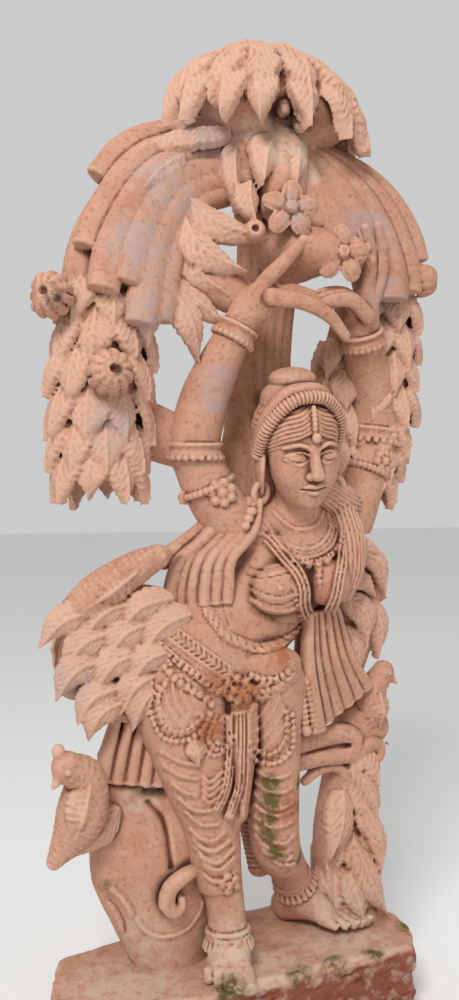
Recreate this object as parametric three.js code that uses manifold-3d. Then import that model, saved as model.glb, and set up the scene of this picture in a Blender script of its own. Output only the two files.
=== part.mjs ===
// A garden statue carved from one block of pink sandstone: a dancer under a flowering tree.
// She stands hip-shot on a rough plinth with both arms raised to two blossoms, and the tree,
// the scarves and three birds grow out of the same stone around her.
// Millimetres, +Z up, +X to the viewer's right, and the front faces -Y.
// The origin is in the middle of the plinth's flat underside.
import * as THREE from "three";
import { mergeVertices } from "three/addons/utils/BufferGeometryUtils.js";
import Module from "manifold-3d";

const wasm = await Module();
wasm.setup();

// Driving dimensions. Every place below is drawn for a statue 1520 mm high and scaled from it.
const STATUE_HEIGHT = 1520;
const DRAWN_HEIGHT = 1520;
const PLINTH_HEIGHT = 110;
const LEAF = { width: 44, thick: 10, bow: 10 };
const STONE_COLOUR = 0xc99a80;

const FRONT = new THREE.Vector3(0, -1, 0);
const BACK = new THREE.Vector3(0, 1, 0);
const UP = new THREE.Vector3(0, 0, 1);
const vec = (p) => (p.isVector3 ? p.clone() : new THREE.Vector3(...p));
const mix = (a, b, t) => a + (b - a) * t;
const smoothLine = (points) => new THREE.CatmullRomCurve3(points.map(vec), false, "centripetal");

// A repeatable number from -1 to 1 for the nth of a row of hand-cut things.
function wobble(n) {
  const s = Math.sin(n * 12.9898) * 43758.5453;
  return 2 * (s - Math.floor(s)) - 1;
}

// Joining and cutting. A mesh drawn inside out is turned round.
function solid(geometry) {
  const bare = geometry.clone();
  bare.deleteAttribute("normal");
  bare.deleteAttribute("uv");
  const merged = mergeVertices(bare, 1e-3);
  const vertProperties = merged.attributes.position.array;
  const triVerts = new Uint32Array(merged.index.array);
  const made = new wasm.Manifold(new wasm.Mesh({ numProp: 3, vertProperties, triVerts }));
  if (made.volume() > 0) return made;
  for (let n = 0; n < triVerts.length; n += 3) {
    [triVerts[n + 1], triVerts[n + 2]] = [triVerts[n + 2], triVerts[n + 1]];
  }
  return new wasm.Manifold(new wasm.Mesh({ numProp: 3, vertProperties, triVerts }));
}

function geometryOf(joined) {
  const mesh = joined.getMesh();
  return new THREE.BufferGeometry()
    .setAttribute("position", new THREE.BufferAttribute(mesh.vertProperties, mesh.numProp))
    .setIndex(new THREE.BufferAttribute(mesh.triVerts, 1));
}

const joined = (parts) =>
  parts.map((one) => (Array.isArray(one) ? joined(one) : one)).reduce((all, one) => all.add(one));

// The size at t, from 0 to 1, in a list of evenly spaced sizes. A size is [across, deep].
function sizeAt(sizes, t) {
  const place = Math.min(Math.max(t, 0), 1) * (sizes.length - 1);
  const i = Math.min(Math.floor(place), sizes.length - 2);
  return [0, 1].map((k) => mix(sizes[i][k], sizes[i + 1][k], place - i));
}

// Two directions square to a line at t: `out` lies towards `face`, and `side` lies across it.
function squareTo(line, t, face) {
  const run = line.getTangent(Math.min(Math.max(t, 0.001), 0.999));
  const out = face.clone().addScaledVector(run, -face.dot(run)).normalize();
  return { run, out, side: run.clone().cross(out) };
}

// Draws a sphere out along a smooth line, so that it is closed and its ends are its poles.
// `shapeAt(ring, column)` gives each point's place along the line and its two radii.
function drawnOut(points, columns, rings, face, shapeAt) {
  const line = smoothLine(points);
  const shape = new THREE.SphereGeometry(1, columns, rings);
  const place = shape.attributes.position;
  for (let n = 0; n < place.count; n++) {
    const ring = rings - Math.floor(n / (columns + 1));
    const column = n % (columns + 1);
    const { t, across, deep } = shapeAt(ring, column % columns);
    const { out, side, run } = squareTo(line, t, face);
    const angle = (2 * Math.PI * column) / columns;
    const p = line.getPoint(Math.min(Math.max(t, 0), 1));
    p.addScaledVector(run, line.getLength() * (t - Math.min(Math.max(t, 0), 1)));
    if (ring > 0 && ring < rings) {
      p.addScaledVector(side, Math.cos(angle) * across);
      p.addScaledVector(out, Math.sin(angle) * deep);
    }
    place.setXYZ(n, p.x, p.y, p.z);
  }
  return solid(shape);
}

// A carved member: a limb, a stem or a fold. A high `blunt` keeps its girth up to its ends.
function member(points, sizes, { sides = 8, rings = 6, face = FRONT, blunt = 6 } = {}) {
  return drawnOut(points, sides, rings, face, (ring) => {
    const t = (1 - Math.cos((Math.PI * ring) / rings)) / 2;
    const spread = Math.sqrt(Math.max(0, 1 - Math.abs(2 * t - 1) ** blunt));
    const [across, deep] = sizeAt(sizes, t);
    return { t, across: across * spread, deep: deep * spread };
  });
}

// A mass of foliage round a line: tiers of pointed leaves, each tier half a leaf round from
// the last. A tier has three rings, at the leaves' roots, their bellies and their tips.
const TIER_RINGS = [
  { ridge: [0, 0.86], gap: [0, 0.8] },
  { ridge: [0.55, 1.02], gap: [0.5, 0.88] },
  { ridge: [1.2, 1.08], gap: [0.78, 0.82] },
];
function foliage(points, sizes, { tiers, leaves, face = FRONT, ragged = 0.12 }) {
  const rings = 3 * tiers + 1;
  return drawnOut(points, 2 * leaves, rings, face, (ring, column) => {
    if (ring === 0 || ring === rings) return { t: ring ? 1.02 : 0, across: 0, deep: 0 };
    const tier = Math.floor((ring - 1) / 3);
    const kind = (column + tier) % 2 ? "gap" : "ridge";
    const [along, girth] = TIER_RINGS[(ring - 1) % 3][kind];
    const t = (tier + along + ragged * wobble(ring * 37 + column)) / tiers;
    const [across, deep] = sizeAt(sizes, t);
    const rough = girth * (1 + 0.35 * ragged * wobble(ring * 91 + column * 5));
    return { t, across: across * rough, deep: deep * rough };
  });
}

// A fan of folds or ridges: each line is a crest, and the stone between them is cut back on
// both faces. `thick` is the thickness at the root and the tip, and `valley` the valleys' depth.
function fan(crests, { thick = [22, 22], valley = 8, face = FRONT, rows = 4 }) {
  const lines = crests.map(smoothLine);
  const columns = 2 * (lines.length - 1);
  const slab = new THREE.BoxGeometry(1, 1, 1, columns, rows, 1);
  const place = slab.attributes.position;
  for (let n = 0; n < place.count; n++) {
    const column = Math.round((place.getX(n) + 0.5) * columns);
    const inValley = column % 2;
    const t = 0.5 - place.getY(n);
    const reach = inValley ? 0.93 * t : t;
    const left = lines[Math.floor(column / 2)];
    const right = lines[Math.ceil(column / 2)];
    const p = left.getPoint(reach).lerp(right.getPoint(reach), 0.5);
    const outward = place.getZ(n) * (mix(thick[0], thick[1], t) - inValley * 2 * valley);
    p.addScaledVector(face, outward);
    place.setXYZ(n, p.x, p.y, p.z);
  }
  return solid(slab);
}

// Crests spread evenly between two edge lines of equally many points.
function spread(firstEdge, lastEdge, count) {
  return Array.from({ length: count }, (_, n) =>
    firstEdge.map((p, k) => vec(p).lerp(vec(lastEdge[k]), n / (count - 1))),
  );
}

// A single pointed leaf with a ridge down its middle.
function leaf(root, tip, { width = LEAF.width, thick = LEAF.thick, bow = LEAF.bow, face = FRONT } = {}) {
  const middle = vec(root).lerp(vec(tip), 0.5).addScaledVector(face, bow);
  const shares = [0.3, 0.95, 1, 0.7, 0.1];
  const sizes = shares.map((share) => [(share * width) / 2, thick * (0.6 + 0.4 * share)]);
  return member([root, middle, tip], sizes, { sides: 4, rings: 4, face, blunt: 8 });
}

// A ball stretched to three radii and turned by angles in degrees.
function ball(centre, radii, { sides = 8, rings = 5, turn = [0, 0, 0] } = {}) {
  const shape = new THREE.SphereGeometry(1, sides, rings).scale(...radii);
  const angles = turn.map(THREE.MathUtils.degToRad);
  shape.applyMatrix4(new THREE.Matrix4().makeRotationFromEuler(new THREE.Euler(...angles)));
  return solid(shape.translate(...centre));
}

// A band round a limb, such as a bangle, set across `along`.
function band(centre, along, radius, width) {
  const shape = new THREE.CylinderGeometry(radius, radius, width, 8);
  const axis = new THREE.Vector3(0, 1, 0);
  const turn = new THREE.Quaternion().setFromUnitVectors(axis, vec(along).normalize());
  return solid(shape.applyQuaternion(turn).translate(...centre));
}

// A string of beads or a fold's hem, as one cord of stone.
const cord = (points, girth) =>
  member(points, points.map(() => [girth, girth]), { sides: 4, rings: 6, blunt: 16 });

// The plinth: an uneven slab, flat below, with broken edges.
function plinth() {
  const outline = [
    [-290, -40], [-280, -116], [-130, -126], [60, -122], [262, -118],
    [296, -60], [288, 40], [215, 112], [60, 96], [-145, 86], [-256, 62],
  ];
  const slab = new THREE.ExtrudeGeometry(
    new THREE.Shape(outline.map(([x, y]) => new THREE.Vector2(x, y))),
    { depth: PLINTH_HEIGHT, steps: 2, bevelEnabled: false },
  );
  const place = slab.attributes.position;
  for (let n = 0; n < place.count; n++) {
    const [x, y, z] = [place.getX(n), place.getY(n), place.getZ(n)];
    const bulge = 1 + 0.02 * Math.sin((Math.PI * z) / PLINTH_HEIGHT) * (1 + Math.sin(x * 0.05));
    const sag = z > 0.9 * PLINTH_HEIGHT ? 4 * Math.sin(x * 0.02 + y * 0.03) - 3 : 0;
    place.setXYZ(n, x * bulge, y * bulge, z + sag);
  }
  return solid(slab);
}

// The legs, the hips, the trunk of the body and the neck.
function body() {
  return [
    member(
      [[-74, -14, 500], [-40, -12, 540], [14, -14, 590], [70, -20, 648], [110, -22, 704], [110, -18, 756]],
      [[80, 56], [96, 68], [88, 60], [78, 54], [90, 54], [44, 34]],
      { sides: 8, rings: 7, blunt: 8 },
    ),
    ball([-48, -10, 560], [118, 66, 68], { turn: [0, 25, 0], sides: 8 }),
    ball([50, -60, 520], [60, 46, 40], { turn: [0, 15, 0], sides: 7, rings: 4 }),
    ball([-84, -24, 482], [76, 56, 74], { turn: [0, -15, 0], sides: 7 }),
    member(
      [[-56, -18, 500], [-52, -30, 400], [-44, -40, 335], [-36, -44, 262], [-26, -55, 185], [-26, -64, 118]],
      [[70, 60], [56, 56], [44, 44], [38, 38], [31, 31], [31, 34]],
      { rings: 7, blunt: 12 },
    ),
    member(
      [[36, -22, 510], [50, -36, 410], [56, -44, 335], [66, -38, 275], [106, 0, 200], [128, 20, 150]],
      [[62, 54], [42, 46], [37, 40], [33, 36], [29, 30], [27, 30]],
      { rings: 7, blunt: 12 },
    ),
    member([[112, -18, 700], [106, -28, 752], [96, -38, 826]], [[52, 40], [34, 34], [34, 34]],
      { sides: 7, rings: 4 }),
    ball([54, -68, 660], [44, 40, 40], { sides: 7, rings: 4 }),
    ball([138, -62, 666], [40, 38, 38], { sides: 7, rings: 4 }),
  ];
}

// A foot with its toes, from the heel to the ball of the foot.
function foot(heel, instep, front, toeRun, width) {
  const side = vec(toeRun).cross(UP).normalize();
  const sizes = [[26, 24], [30, 26], [width, 15]];
  const parts = [member([heel, instep, front], sizes, { face: UP, sides: 7, rings: 4, blunt: 20 })];
  for (let n = 0; n < 5; n++) {
    const root = vec(front).addScaledVector(side, (n / 4 - 0.5) * 1.5 * width);
    root.addScaledVector(vec(toeRun), -0.5);
    const tip = root.clone().addScaledVector(vec(toeRun), 1.6 - 0.1 * n);
    const girth = mix(14, 10, n / 4);
    parts.push(member([root, tip], [[girth, girth], [girth, girth]], { sides: 4, rings: 2, face: UP }));
  }
  return parts;
}

const feet = () => [
  foot([-24, -40, 128], [-34, -74, 136], [-48, -98, 120], [-8, -38, -6], 38),
  foot([118, 40, 132], [138, 6, 150], [172, -24, 128], [30, -34, -6], 36),
];

// Both raised arms, from the shoulder to the elbow and from the elbow to the wrist.
const arms = () => [
  member([[64, -8, 702], [8, -8, 752], [-34, -4, 806], [-58, 0, 866], [-58, -8, 905]],
    [[40, 38], [42, 40], [40, 38], [37, 36], [34, 34]], { rings: 5 }),
  member([[-62, 4, 862], [-58, -8, 905], [-42, -14, 960], [-24, -34, 1012], [2, -46, 1070]],
    [[34, 34], [39, 37], [37, 36], [31, 31], [24, 26]], { rings: 5 }),
  member([[172, -8, 708], [206, -4, 760], [238, 4, 826], [264, 8, 890], [266, 4, 940]],
    [[38, 36], [42, 40], [43, 40], [42, 40], [36, 34]], { rings: 5 }),
  member([[268, 8, 895], [266, 5, 942], [250, -8, 990], [226, -28, 1034], [208, -48, 1076]],
    [[36, 34], [43, 40], [40, 38], [33, 32], [28, 28]], { rings: 5 }),
];

function hands() {
  const finger = (points, girth) => {
    const sizes = [[girth, girth], [girth, girth], [girth * 0.8, girth * 0.8]];
    return member(points, sizes, { sides: 4, rings: 4 });
  };
  const palm = { sides: 7, rings: 4 };
  const right = [
    member([[0, -46, 1062], [22, -56, 1094], [64, -68, 1110]], [[26, 22], [32, 20], [24, 15]], palm),
    finger([[22, -62, 1100], [50, -78, 1144], [76, -88, 1182]], 14),
    finger([[30, -66, 1094], [96, -86, 1096], [164, -98, 1062]], 19),
      ];
  const left = [
    member([[212, -46, 1062], [202, -58, 1096], [194, -66, 1126]], [[28, 22], [32, 20], [28, 16]], palm),
    finger([[208, -66, 1084], [160, -84, 1102], [112, -92, 1104]], 17),
    finger([[214, -66, 1106], [224, -80, 1168], [214, -86, 1226]], 14),
    finger([[194, -60, 1112], [200, -70, 1160], [192, -78, 1206]], 12),
  ];
  return [right, left];
}

// The head, drawn upright round its own centre and then bowed and turned. The face is a plain one.
const HEAD = { centre: [90, -54, 868], turn: [12, -5, -5] };
function head() {
  const parts = [
    member([[0, -4, 40], [0, -20, -24], [0, -36, -72]], [[60, 60], [54, 46], [25, 24]], { rings: 5, blunt: 8 }),
    member([[0, -58, 14], [0, -68, -8], [0, -74, -24]], [[6, 8], [8, 9], [13, 10]], { sides: 4, rings: 3 }),
    ball([0, -60, -44], [19, 11, 9], { sides: 4, rings: 3 }),
    ball([0, 18, 34], [70, 80, 70], { sides: 10, rings: 6 }),
    ball([0, 26, 106], [40, 38, 32], { sides: 7 }),
    ball([-62, 0, -22], [12, 20, 34], { sides: 5, rings: 3 }),
    ball([62, 0, -22], [12, 20, 34], { sides: 5, rings: 3 }),
  ];
  return parts.map((one) => one.rotate(HEAD.turn).translate(HEAD.centre));
}

// The scarves, the pleated skirt on both sides, and the sash between the knees.
const scarves = () => [
  fan(spread([[4, 0, 806], [-36, -8, 762], [-94, -10, 716], [-144, -16, 648]],
    [[50, -30, 806], [24, -34, 744], [-8, -34, 700], [-46, -36, 640]], 4), { thick: [44, 30], rows: 3 }),
  member([[-10, 0, 770], [-60, 4, 726], [-130, -6, 706]], [[24, 22], [28, 22], [22, 18]], { sides: 5, rings: 4 }),
  fan(spread([[112, -26, 640], [106, -34, 540], [108, -30, 426]],
    [[182, -12, 650], [208, -14, 550], [226, -12, 468]], 5), { thick: [44, 30], valley: 7, rows: 3 }),
  member([[134, -50, 800], [186, -34, 776], [234, 0, 770]], [[24, 20], [28, 22], [20, 16]],
    { sides: 6, rings: 4 }),
  member([[172, -40, 766], [184, -46, 690], [150, -54, 628], [108, -66, 612]],
    [[22, 22], [26, 22], [22, 18], [14, 12]], { sides: 6, rings: 5 }),
  fan(spread([[-186, 8, 470], [-196, 6, 420], [-206, 4, 382]],
    [[-88, -6, 470], [-94, -10, 420], [-100, -10, 364]], 4), { thick: [44, 34], valley: 7, rows: 2 }),
  fan(spread([[-16, -54, 500], [-18, -66, 410], [-26, -54, 308]],
    [[12, -54, 500], [10, -66, 410], [14, -54, 312]], 3), { thick: [40, 32], valley: 5, rows: 2 }),
  member([[18, 0, 440], [28, 10, 320], [48, 12, 208]], [[18, 16], [20, 16], [22, 18]], { sides: 5, rings: 4 }),
];

// The girdle, and the bands at the elbows, the wrists and the ankles.
const jewels = () => [
  cord([[-150, -30, 590], [-108, -66, 572], [-30, -84, 520], [42, -96, 482], [88, -50, 484]], 26),
  band([-5, -43, 1056], [26, -14, 58], 32, 14),
  band([-60, 2, 862], [-8, 4, 60], 43, 16),
  band([213, -42, 1056], [-26, -16, 48], 37, 14),
  band([265, 8, 898], [4, 0, 60], 47, 16),
  band([-26, -58, 152], [0, -8, -60], 38, 12),
  band([114, 8, 186], [30, 26, -50], 36, 12),
];

// A perched bird: head, breast and body in one sweep that narrows to the tail, with a wing.
function bird({ head, breast, rump, tailTip, beakTip, girth }) {
  const round = (...shares) => shares.map((share) => [share * girth, share * girth]);
  const wing = [vec(breast), vec(rump).lerp(vec(tailTip), 0.3)];
  wing.forEach((p) => p.addScaledVector(FRONT, 0.6 * girth));
  return [
    member([head, breast, rump, tailTip], round(0.66, 0.8, 1, 0.9, 0.5), { sides: 6, rings: 6, blunt: 6 }),
    member([vec(head).lerp(vec(breast), 0.4), beakTip], round(0.4, 0.2), { sides: 4, rings: 2 }),
    leaf(...wing, { width: 1.4 * girth, thick: 10, bow: 6 }),
  ];
}

const birds = () => [
  bird({
    head: [-138, -44, 712], breast: [-176, -40, 692], rump: [-232, -30, 652], tailTip: [-298, -16, 602],
    beakTip: [-104, -42, 704], girth: 33,
  }),
  bird({
    head: [-262, -44, 430], breast: [-238, -34, 402], rump: [-246, -30, 344], tailTip: [-282, -26, 284],
    beakTip: [-286, -48, 402], girth: 42,
  }),
  bird({
    head: [278, -8, 516], breast: [260, -2, 480], rump: [258, 2, 436], tailTip: [272, 4, 386],
    beakTip: [296, -14, 494], girth: 32,
  }),
];

// A round flower bud, ribbed like a seed head.
function bud(centre, face, radius) {
  const out = vec(face).normalize();
  const back = vec(centre).addScaledVector(out, -1.4 * radius);
  const front = vec(centre).addScaledVector(out, 0.4 * radius);
  const sizes = [0.7, 1, 0.8].map((share) => [share * radius, share * radius]);
  return member([back, centre, front], sizes, { sides: 9, rings: 5, face: UP, blunt: 5 });
}

// The left bough: long ridges that fan out from under the crown, then tiers of hanging leaves.
const leftCanopy = () => [
  fan([
    [[16, 26, 1372], [-95, 14, 1350], [-176, 2, 1306]],
    [[14, 16, 1350], [-152, 4, 1292], [-214, -4, 1242], [-254, -8, 1184]],
    [[10, 4, 1330], [-132, -12, 1258], [-224, -22, 1180], [-278, -26, 1108]],
    [[10, -2, 1310], [-108, -18, 1256], [-190, -32, 1160], [-226, -40, 1030]],
    [[10, -4, 1290], [-90, -20, 1248], [-142, -38, 1165], [-156, -44, 1010]],
    [[6, 2, 1268], [-62, -12, 1240], [-100, -24, 1192], [-124, -30, 1140], [-96, -30, 1080], [-40, -30, 1036]],
  ], { thick: [64, 76], valley: 12 }),
  foliage([[-204, -2, 1110], [-206, -6, 960], [-206, -6, 818]],
    [[66, 40], [72, 50], [78, 52], [80, 48], [60, 34]], { tiers: 4, leaves: 7 }),
  member([[-190, 16, 930], [-136, 20, 904], [-66, 12, 884]], [[48, 30], [46, 26], [42, 22]],
    { sides: 5, rings: 4 }),
  bud([-290, -34, 1076], [-0.75, -0.65, 0], 34),
  bud([-212, -62, 972], [-0.1, -1, 0.05], 32),
];

// The curled leaf between the left bough and the hands, and the cut leaves beside the forearm.
const scrollLeaves = () => [
  member([[-60, 0, 1250], [-92, -10, 1200], [-72, -22, 1150], [-20, -30, 1110], [30, -40, 1090]],
    [[26, 26], [34, 30], [38, 30], [36, 28], [26, 20]], { sides: 7 }),
  leaf([-76, -20, 1200], [70, -44, 1176], { width: 90, thick: 24 }),
  leaf([-126, -20, 1120], [-146, -36, 1020], { width: 60, thick: 22 }),
  leaf([-118, -20, 1100], [-50, -8, 984], { width: 60, thick: 22 }),
];

// The right bough, mostly hidden behind her arm, and a smaller hanging leaf between arm and head.
const rightCanopy = () => [
  fan([
    [[85, -8, 1351], [106, -28, 1275], [132, -40, 1215]],
    [[100, 0, 1360], [170, -26, 1297], [204, -38, 1240], [218, -40, 1160]],
    [[112, 8, 1374], [204, -22, 1308], [252, -36, 1235], [278, -40, 1130]],
    [[124, 16, 1378], [232, -12, 1316], [286, -28, 1254], [320, -36, 1180], [330, -36, 1080]],
    [[132, 22, 1384], [244, 0, 1322], [298, -12, 1268], [326, -20, 1206]],
  ], { thick: [60, 72], valley: 12 }),
  foliage([[296, 4, 1130], [290, 8, 980], [256, 14, 836]],
    [[50, 40], [58, 44], [52, 42], [36, 32]], { tiers: 4, leaves: 5 }),
  bud([346, -28, 1164], [0.95, -0.3, 0], 30),
  member([[236, 20, 1110], [204, 22, 980], [196, 16, 880], [176, 10, 770]],
    [[34, 30], [34, 30], [40, 30], [30, 26]], { sides: 5, rings: 5 }),
];

// The trunk behind her, and the blocks of leaf between the crown and the blossoms.
const trunk = () => [
  member([[74, 30, 690], [72, 46, 800], [78, 54, 920], [86, 56, 1060], [92, 44, 1220], [84, 10, 1400]],
    [[58, 36], [76, 34], [62, 32], [48, 32], [60, 42], [96, 56]], { sides: 7, rings: 7 }),
  member([[36, 0, 1390], [22, -20, 1310], [20, -26, 1226]], [[48, 40], [42, 32], [24, 18]],
    { sides: 5, rings: 4 }),
  member([[80, -10, 1400], [72, -36, 1310], [64, -56, 1230]], [[50, 40], [42, 32], [34, 24]],
    { sides: 5, rings: 4 }),
  member([[104, 30, 1200], [104, -30, 1186], [120, -86, 1180]], [[60, 56], [54, 50], [44, 34]],
    { sides: 6, rings: 4, face: UP }),
];

// A five-petalled blossom facing `face`.
function blossom(centre, face, radius) {
  const out = vec(face).normalize();
  const side = out.clone().cross(UP).normalize();
  const rise = side.clone().cross(out);
  const heart = 0.36 * radius;
  const petals = [ball(centre, [heart, heart, heart], { sides: 6, rings: 4 })];
  for (let n = 0; n < 5; n++) {
    const angle = (n / 5) * 2 * Math.PI + 0.4;
    const towards = side.clone().multiplyScalar(Math.cos(angle)).addScaledVector(rise, Math.sin(angle));
    const near = vec(centre).addScaledVector(towards, radius * 0.1);
    const far = vec(centre).addScaledVector(towards, radius);
    const sizes = [[radius * 0.36, 16], [radius * 0.54, 15]];
    petals.push(member([near, far], sizes, { sides: 6, rings: 4, face: out, blunt: 4 }));
  }
  return petals;
}

// The crown: tiers of leaves that hang over a dark hollow at the front.
const CROWN = { middle: [66, 0], top: 1508, foot: 1362 };
function crown() {
  const [x, y] = CROWN.middle;
  const dome = foliage(
    [[x, y, CROWN.top], [x, y, mix(CROWN.top, CROWN.foot, 0.5)], [x, y, CROWN.foot]],
    [[44, 40], [120, 82], [154, 98], [174, 106], [180, 108], [164, 98]],
    { tiers: 4, leaves: 11, ragged: 0.2 },
  );
  return [dome.subtract(ball([74, -112, 1366], [58, 56, 42], { sides: 7, rings: 5 }))];
}

// The stone at her hip, with its leaves.
const hipLeaves = () => [
  member([[-90, 0, 600], [-160, -6, 620], [-232, -10, 596], [-262, -8, 520]],
    [[56, 46], [60, 42], [48, 34], [34, 24]], { sides: 7, rings: 5 }),
  member([[-70, -8, 520], [-140, -10, 516], [-190, -12, 490]], [[66, 54], [60, 44], [40, 30]],
    { sides: 6, rings: 4 }),
  leaf([-196, -30, 630], [-294, -20, 548], { width: 60, thick: 22, bow: 14 }),
  leaf([-256, -10, 590], [-266, -8, 486], { width: 60, thick: 22 }),
  leaf([-206, -30, 580], [-216, -16, 470], { width: 64, thick: 22 }),
];

// The swelling stem under the low bird, on the left.
const leftPlant = () => [
  member([[-96, 4, 96], [-108, 6, 190], [-124, 8, 270], [-128, 10, 336]],
    [[56, 46], [82, 52], [98, 52], [92, 42], [70, 30]], { sides: 10 }),
  member([[-168, 10, 270], [-176, 14, 340], [-150, 12, 400]], [[54, 36], [44, 32], [34, 28]], { rings: 5 }),
  member([[-84, 4, 270], [-72, 2, 340], [-62, 0, 410]], [[48, 36], [44, 34], [36, 30]], { rings: 5 }),
  leaf([-186, -8, 330], [-258, -20, 276], { width: 60, thick: 22, bow: 4 }),
  member([[-80, -36, 236], [-112, -44, 242], [-128, -42, 216], [-106, -40, 200]],
    [[13, 14], [13, 14], [11, 12], [10, 10]], { sides: 5, rings: 5 }),
];

// The branch across the right, the leaves that trail below it, and the second mass at her elbow.
const rightPlant = () => [
  member([[84, -14, 396], [160, -6, 396], [222, 0, 412], [268, 2, 424]],
    [[30, 28], [30, 28], [32, 28], [30, 24]], { sides: 6, rings: 4 }),
  foliage([[222, 4, 440], [202, 5, 320], [192, 6, 230], [240, 2, 92]],
    [[36, 30], [48, 32], [52, 34], [54, 36], [58, 40]], { tiers: 4, leaves: 5 }),
  leaf([196, -20, 264], [166, -26, 168], { width: 52, thick: 22 }),
  member([[180, 4, 700], [226, 4, 704], [260, 0, 676], [272, -6, 632]], [[40, 28], [38, 26], [32, 22], [18, 14]],
    { sides: 5, rings: 4 }),
  member([[196, 10, 680], [228, 10, 620], [232, 10, 560], [218, 12, 500]],
    [[46, 34], [44, 32], [34, 28], [26, 22]], { sides: 6, rings: 5 }),
  leaf([236, -14, 616], [268, -14, 520], { width: 50, thick: 22 }),
];

const statue = joined([
  plinth(), body(), feet(), arms(), hands(), head(), scarves(), jewels(), birds(), trunk(),
  leftCanopy(), scrollLeaves(), rightCanopy(), crown(), hipLeaves(), leftPlant(), rightPlant(),
  blossom([62, -78, 1228], [-0.1, -1, 0.1], 46),
  blossom([138, -98, 1166], [0.05, -1, 0.05], 48),
]);

const stone = new THREE.MeshStandardMaterial({ color: STONE_COLOUR, roughness: 0.9, metalness: 0 });
const figure = new THREE.Mesh(geometryOf(statue), stone);
figure.name = "devadasi_statue";
const group = new THREE.Group();
group.add(figure);
group.scale.setScalar(STATUE_HEIGHT / DRAWN_HEIGHT);
export default group;
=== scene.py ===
"""A garden statue carved from pink sandstone: a dancer under a flowering tree.

The stone is built up as signed distances, in millimetres, in blocks of space that are then meshed.
+X is the viewer's right and the front faces -Y, as in the CAD frame.
"""
import math
from concurrent.futures import ThreadPoolExecutor

import bpy
import numpy as np
import openvdb
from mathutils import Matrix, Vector


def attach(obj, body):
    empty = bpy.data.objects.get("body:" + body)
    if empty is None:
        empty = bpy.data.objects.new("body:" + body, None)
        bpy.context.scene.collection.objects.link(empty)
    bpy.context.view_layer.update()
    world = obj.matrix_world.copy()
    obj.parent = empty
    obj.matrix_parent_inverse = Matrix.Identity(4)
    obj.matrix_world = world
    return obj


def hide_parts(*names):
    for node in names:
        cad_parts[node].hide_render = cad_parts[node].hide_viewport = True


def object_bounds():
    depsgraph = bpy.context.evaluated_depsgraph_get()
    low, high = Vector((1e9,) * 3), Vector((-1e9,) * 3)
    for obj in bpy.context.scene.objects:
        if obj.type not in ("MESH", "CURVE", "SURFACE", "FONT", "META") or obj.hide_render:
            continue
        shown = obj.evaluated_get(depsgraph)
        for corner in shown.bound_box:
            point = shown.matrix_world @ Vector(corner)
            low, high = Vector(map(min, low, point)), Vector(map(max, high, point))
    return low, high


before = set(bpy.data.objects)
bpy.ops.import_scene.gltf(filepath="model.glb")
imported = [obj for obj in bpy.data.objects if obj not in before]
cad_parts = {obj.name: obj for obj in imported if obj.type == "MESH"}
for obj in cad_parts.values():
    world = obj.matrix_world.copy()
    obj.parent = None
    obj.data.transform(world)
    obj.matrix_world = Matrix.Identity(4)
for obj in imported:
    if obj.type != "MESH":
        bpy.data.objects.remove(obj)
NODE = "devadasi_statue"
CAD_LOW, CAD_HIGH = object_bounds()

# Every place below is drawn in millimetres for a statue this high, and scaled to the frame.
DRAWN_HEIGHT = 1514
MM = (CAD_HIGH.z - CAD_LOW.z) / DRAWN_HEIGHT

FRONT = np.array([0.0, -1.0, 0.0])
BACK = -FRONT
UP = np.array([0.0, 0.0, 1.0])

FAR = 40.0
STEP = 7.0
PLINTH_TOP = 110
LIMIT_LOW = (-312.5, -144, 0)
LIMIT_HIGH = (359, 114.5, 1512)

# The photograph's eye, and an upright pane in front of her on which surface carving is drawn.
PHOTO_AZIMUTH = math.radians(24)
CAMERA_DISTANCE = 1395
CAMERA_HEIGHT = 795
LENS = 32.4
EYE = np.array([
    -CAMERA_DISTANCE * math.sin(PHOTO_AZIMUTH),
    -CAMERA_DISTANCE * math.cos(PHOTO_AZIMUTH),
    CAMERA_HEIGHT,
])
PANE_Y = -60


def unit(rows):
    """Directions one long."""
    rows = np.asarray(rows, float)
    return rows / np.maximum(np.linalg.norm(rows, axis=-1, keepdims=True), 1e-9)


def wobble(n):
    """A repeatable number from -1 to 1 for the nth of a row of hand-cut things."""
    s = math.sin(n * 12.9898 + 0.7) * 43758.5453
    return 2 * (s - math.floor(s)) - 1


def bumps(x, y, z, size, seed=0.0):
    """Irregular lumps from about -1 to 1, roughly `size` millimetres across."""
    total = 0
    for n in range(4):
        a, b = 1.3 * n + seed, 2.1 * n + 0.5 + seed
        k = 2 * math.pi / size * (0.7 + 0.25 * n)
        sway = np.sin(k * 0.6 * (y * math.cos(b) + z * math.sin(b)) + 3 * n)
        total = total + np.sin(
            k * (x * math.cos(a) * math.cos(b) + y * math.sin(a) + z * math.cos(a) * math.sin(b))
            + 1.7 * sway + a
        )
    return total / 2.6


def smooth_min(a, b, blend):
    """The union of two distances, with a fillet about `blend` wide."""
    if blend <= 0:
        return np.minimum(a, b)
    h = np.maximum(blend - np.abs(a - b), 0) / blend
    return np.minimum(a, b) - h * h * blend / 4


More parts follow.
